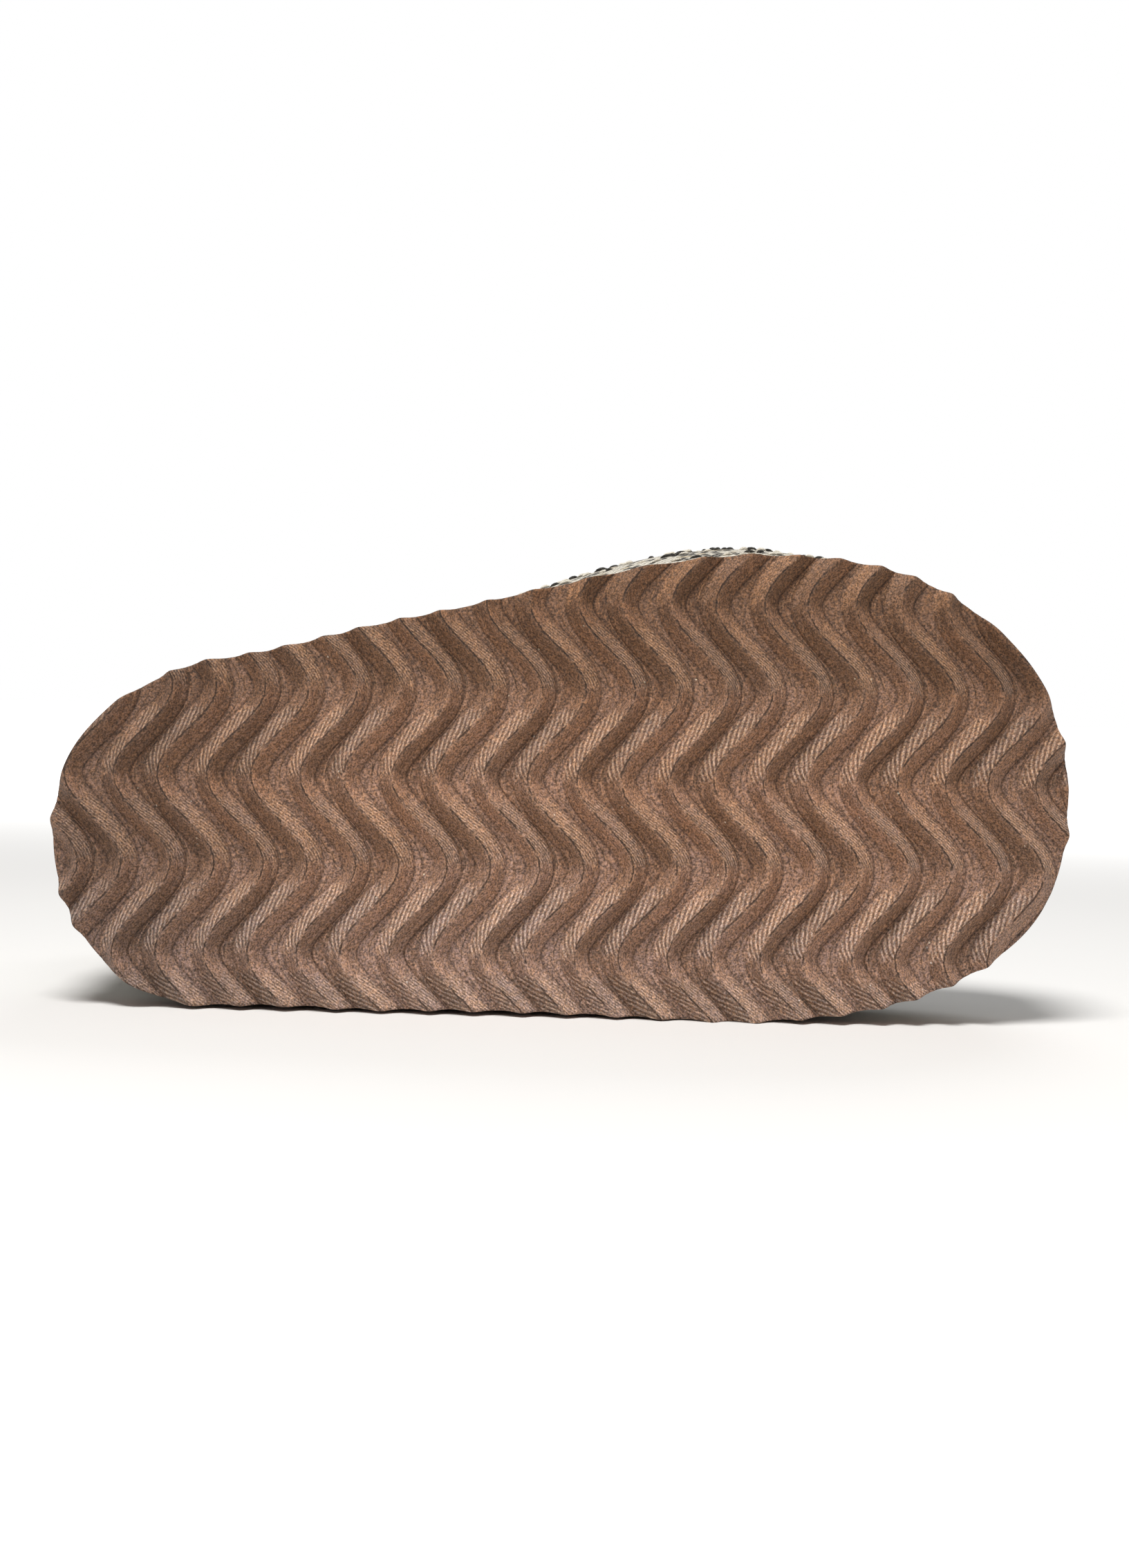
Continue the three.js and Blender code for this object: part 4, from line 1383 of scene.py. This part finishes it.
VIEW_ALONG = 0.0827  # the camera looks at this place of the tread
VIEW_ACROSS = -0.01112
VIEW_DISTANCE = 0.43
VIEW_ROLL = math.radians(1.45)
VIEW_SPAN = 0.2527  # the picture's long side, at the crests
SENSOR = 36.0
FLOOR_FADE_FROM = 0.25  # metres from the shoe
FLOOR_FADE_TO = 1.1


def direction(along, across, up):
    """A direction of the shoe's own frame, in the world."""
    ends = laid([(0, 0, 0), (along, across, up)])
    return Vector(ends[1] - ends[0]).normalized()


def build_camera():
    data = bpy.data.cameras.new("camera")
    data.sensor_fit = "AUTO"
    data.sensor_width = SENSOR
    data.lens = SENSOR * VIEW_DISTANCE / VIEW_SPAN
    camera = bpy.data.objects.new("camera", data)
    bpy.context.collection.objects.link(camera)
    toe = direction(1, 0, 0)
    outer = direction(0, -1, 0)
    back = direction(0, 0, -1)
    right = toe * math.cos(VIEW_ROLL) + outer * math.sin(VIEW_ROLL)
    top = outer * math.cos(VIEW_ROLL) - toe * math.sin(VIEW_ROLL)
    spot = laid([(VIEW_ALONG, VIEW_ACROSS, -VIEW_DISTANCE)])[0]
    turn = Matrix((right, top, back)).transposed()
    camera.matrix_world = Matrix.Translation(spot) @ turn.to_4x4()
    bpy.context.scene.camera = camera


def area_light(name, place, target, size, power, tint):
    data = bpy.data.lights.new(name, "AREA")
    data.shape = "DISK"
    data.size = size
    data.energy = power
    data.color = tint
    light = bpy.data.objects.new(name, data)
    light.location = place
    light.rotation_euler = (Vector(target) - Vector(place)).to_track_quat("-Z", "Y").to_euler()
    bpy.context.collection.objects.link(light)


def build_world():
    """A pale surround that the camera sees as white, with a dimmer even light."""
    world = bpy.data.worlds.new("surround")
    bpy.context.scene.world = world
    world.use_nodes = True
    tree = world.node_tree
    tree.nodes.clear()
    output = tree.nodes.new("ShaderNodeOutputWorld")
    mixer = tree.nodes.new("ShaderNodeMixShader")
    path = tree.nodes.new("ShaderNodeLightPath")
    even = tree.nodes.new("ShaderNodeBackground")
    even.inputs["Color"].default_value = (1.0, 0.98, 0.96, 1)
    even.inputs["Strength"].default_value = 0.22
    seen = tree.nodes.new("ShaderNodeBackground")
    seen.inputs["Color"].default_value = (1, 1, 1, 1)
    seen.inputs["Strength"].default_value = 1.0
    tree.links.new(path.outputs["Is Camera Ray"], mixer.inputs[0])
    tree.links.new(even.outputs[0], mixer.inputs[1])
    tree.links.new(seen.outputs[0], mixer.inputs[2])
    tree.links.new(mixer.outputs[0], output.inputs["Surface"])


def build_floor():
    """A pale floor that fades into the pale surround far from the shoe."""
    reach = 8.0
    points = [(-reach, -reach, 0), (reach, -reach, 0), (reach, reach, 0), (-reach, reach, 0)]
    mesh = bpy.data.meshes.new("floor")
    mesh.from_pydata(points, [], [(0, 1, 2, 3)])
    floor = bpy.data.objects.new("floor", mesh)
    bpy.context.collection.objects.link(floor)
    nodes = Nodes("floor")
    far = nodes.tree.nodes.new("ShaderNodeVectorMath")
    far.operation = "LENGTH"
    nodes.put(far.inputs[0], nodes.position())
    fade = nodes.ramp(far.outputs["Value"], FLOOR_FADE_FROM, FLOOR_FADE_TO)
    nodes.shader.inputs["Base Color"].default_value = (*settings().colours.floor, 1)
    nodes.shader.inputs["Roughness"].default_value = 0.9
    nodes.shader.inputs["Emission Color"].default_value = (1, 1, 1, 1)
    nodes.put(nodes.shader.inputs["Emission Strength"], fade)
    mesh.materials.append(nodes.material)


def build_stage():
    scene = bpy.context.scene
    scene.view_settings.view_transform = "Standard"
    build_camera()
    build_world()
    build_floor()
    middle = (0, 0, 0.04)
    area_light("key", (-0.12, -0.55, 1.10), middle, 0.5, 14.5, (1.0, 0.98, 0.96))
    area_light("rear", (0.3, 1.1, 0.9), middle, 0.8, 5, (0.97, 0.98, 1.0))


# Operators and panel


class BOOTIE_OT_stage(bpy.types.Operator):
    """Add the floor, the lights and the camera"""

    bl_idname = "bootie.stage"
    bl_label = "Stage"

    def execute(self, context):
        build_stage()
        return {"FINISHED"}


class BOOTIE_OT_outsole(bpy.types.Operator):
    """Build the foam outsole with its wavy ribs"""

    bl_idname = "bootie.outsole"
    bl_label = "Outsole"

    def execute(self, context):
        build_outsole()
        return {"FINISHED"}


class BOOTIE_OT_upper(bpy.types.Operator):
    """Build the tweed upper with its hem and lining"""

    bl_idname = "bootie.upper"
    bl_label = "Upper"

    def execute(self, context):
        build_upper()
        return {"FINISHED"}


class BOOTIE_OT_yarns(bpy.types.Operator):
    """Add the loose yarn loops of the tweed and the stitches of the hem"""

    bl_idname = "bootie.yarns"
    bl_label = "Yarns and stitches"

    def execute(self, context):
        build_nubs()
        build_stitches()
        return {"FINISHED"}


class BOOTIE_OT_insole(bpy.types.Operator):
    """Build the fleece insole"""

    bl_idname = "bootie.insole"
    bl_label = "Insole"

    def execute(self, context):
        build_insole()
        return {"FINISHED"}


OPERATORS = (
    BOOTIE_OT_stage,
    BOOTIE_OT_outsole,
    BOOTIE_OT_upper,
    BOOTIE_OT_yarns,
    BOOTIE_OT_insole,
)


class BOOTIE_PT_panel(bpy.types.Panel):
    """Lists the bootie's sizes, colours and pieces"""

    bl_idname = "BOOTIE_PT_panel"
    bl_label = "Ankle bootie"
    bl_space_type = "VIEW_3D"
    bl_region_type = "UI"
    bl_category = "Bootie"

    def draw(self, context):
        layout = self.layout
        for operator in OPERATORS:
            layout.operator(operator.bl_idname)
        bootie = context.scene.bootie
        for group in (bootie.sole, bootie.tread, bootie.upper, bootie.colours):
            column = layout.column(align=True)
            for name in group.__annotations__:
                column.prop(group, name)


CLASSES = (
    SoleSizes,
    TreadSizes,
    UpperSizes,
    Colours,
    BootieSettings,
    *OPERATORS,
    BOOTIE_PT_panel,
)


def register():
    for entry in CLASSES:
        bpy.utils.register_class(entry)
    bpy.types.Scene.bootie = PointerProperty(type=BootieSettings)


def unregister():
    del bpy.types.Scene.bootie
    for entry in reversed(CLASSES):
        bpy.utils.unregister_class(entry)


def main():
    register()
    bpy.ops.bootie.stage()
    bpy.ops.bootie.outsole()
    bpy.ops.bootie.upper()
    bpy.ops.bootie.yarns()
    bpy.ops.bootie.insole()


if __name__ == "__main__":
    main()
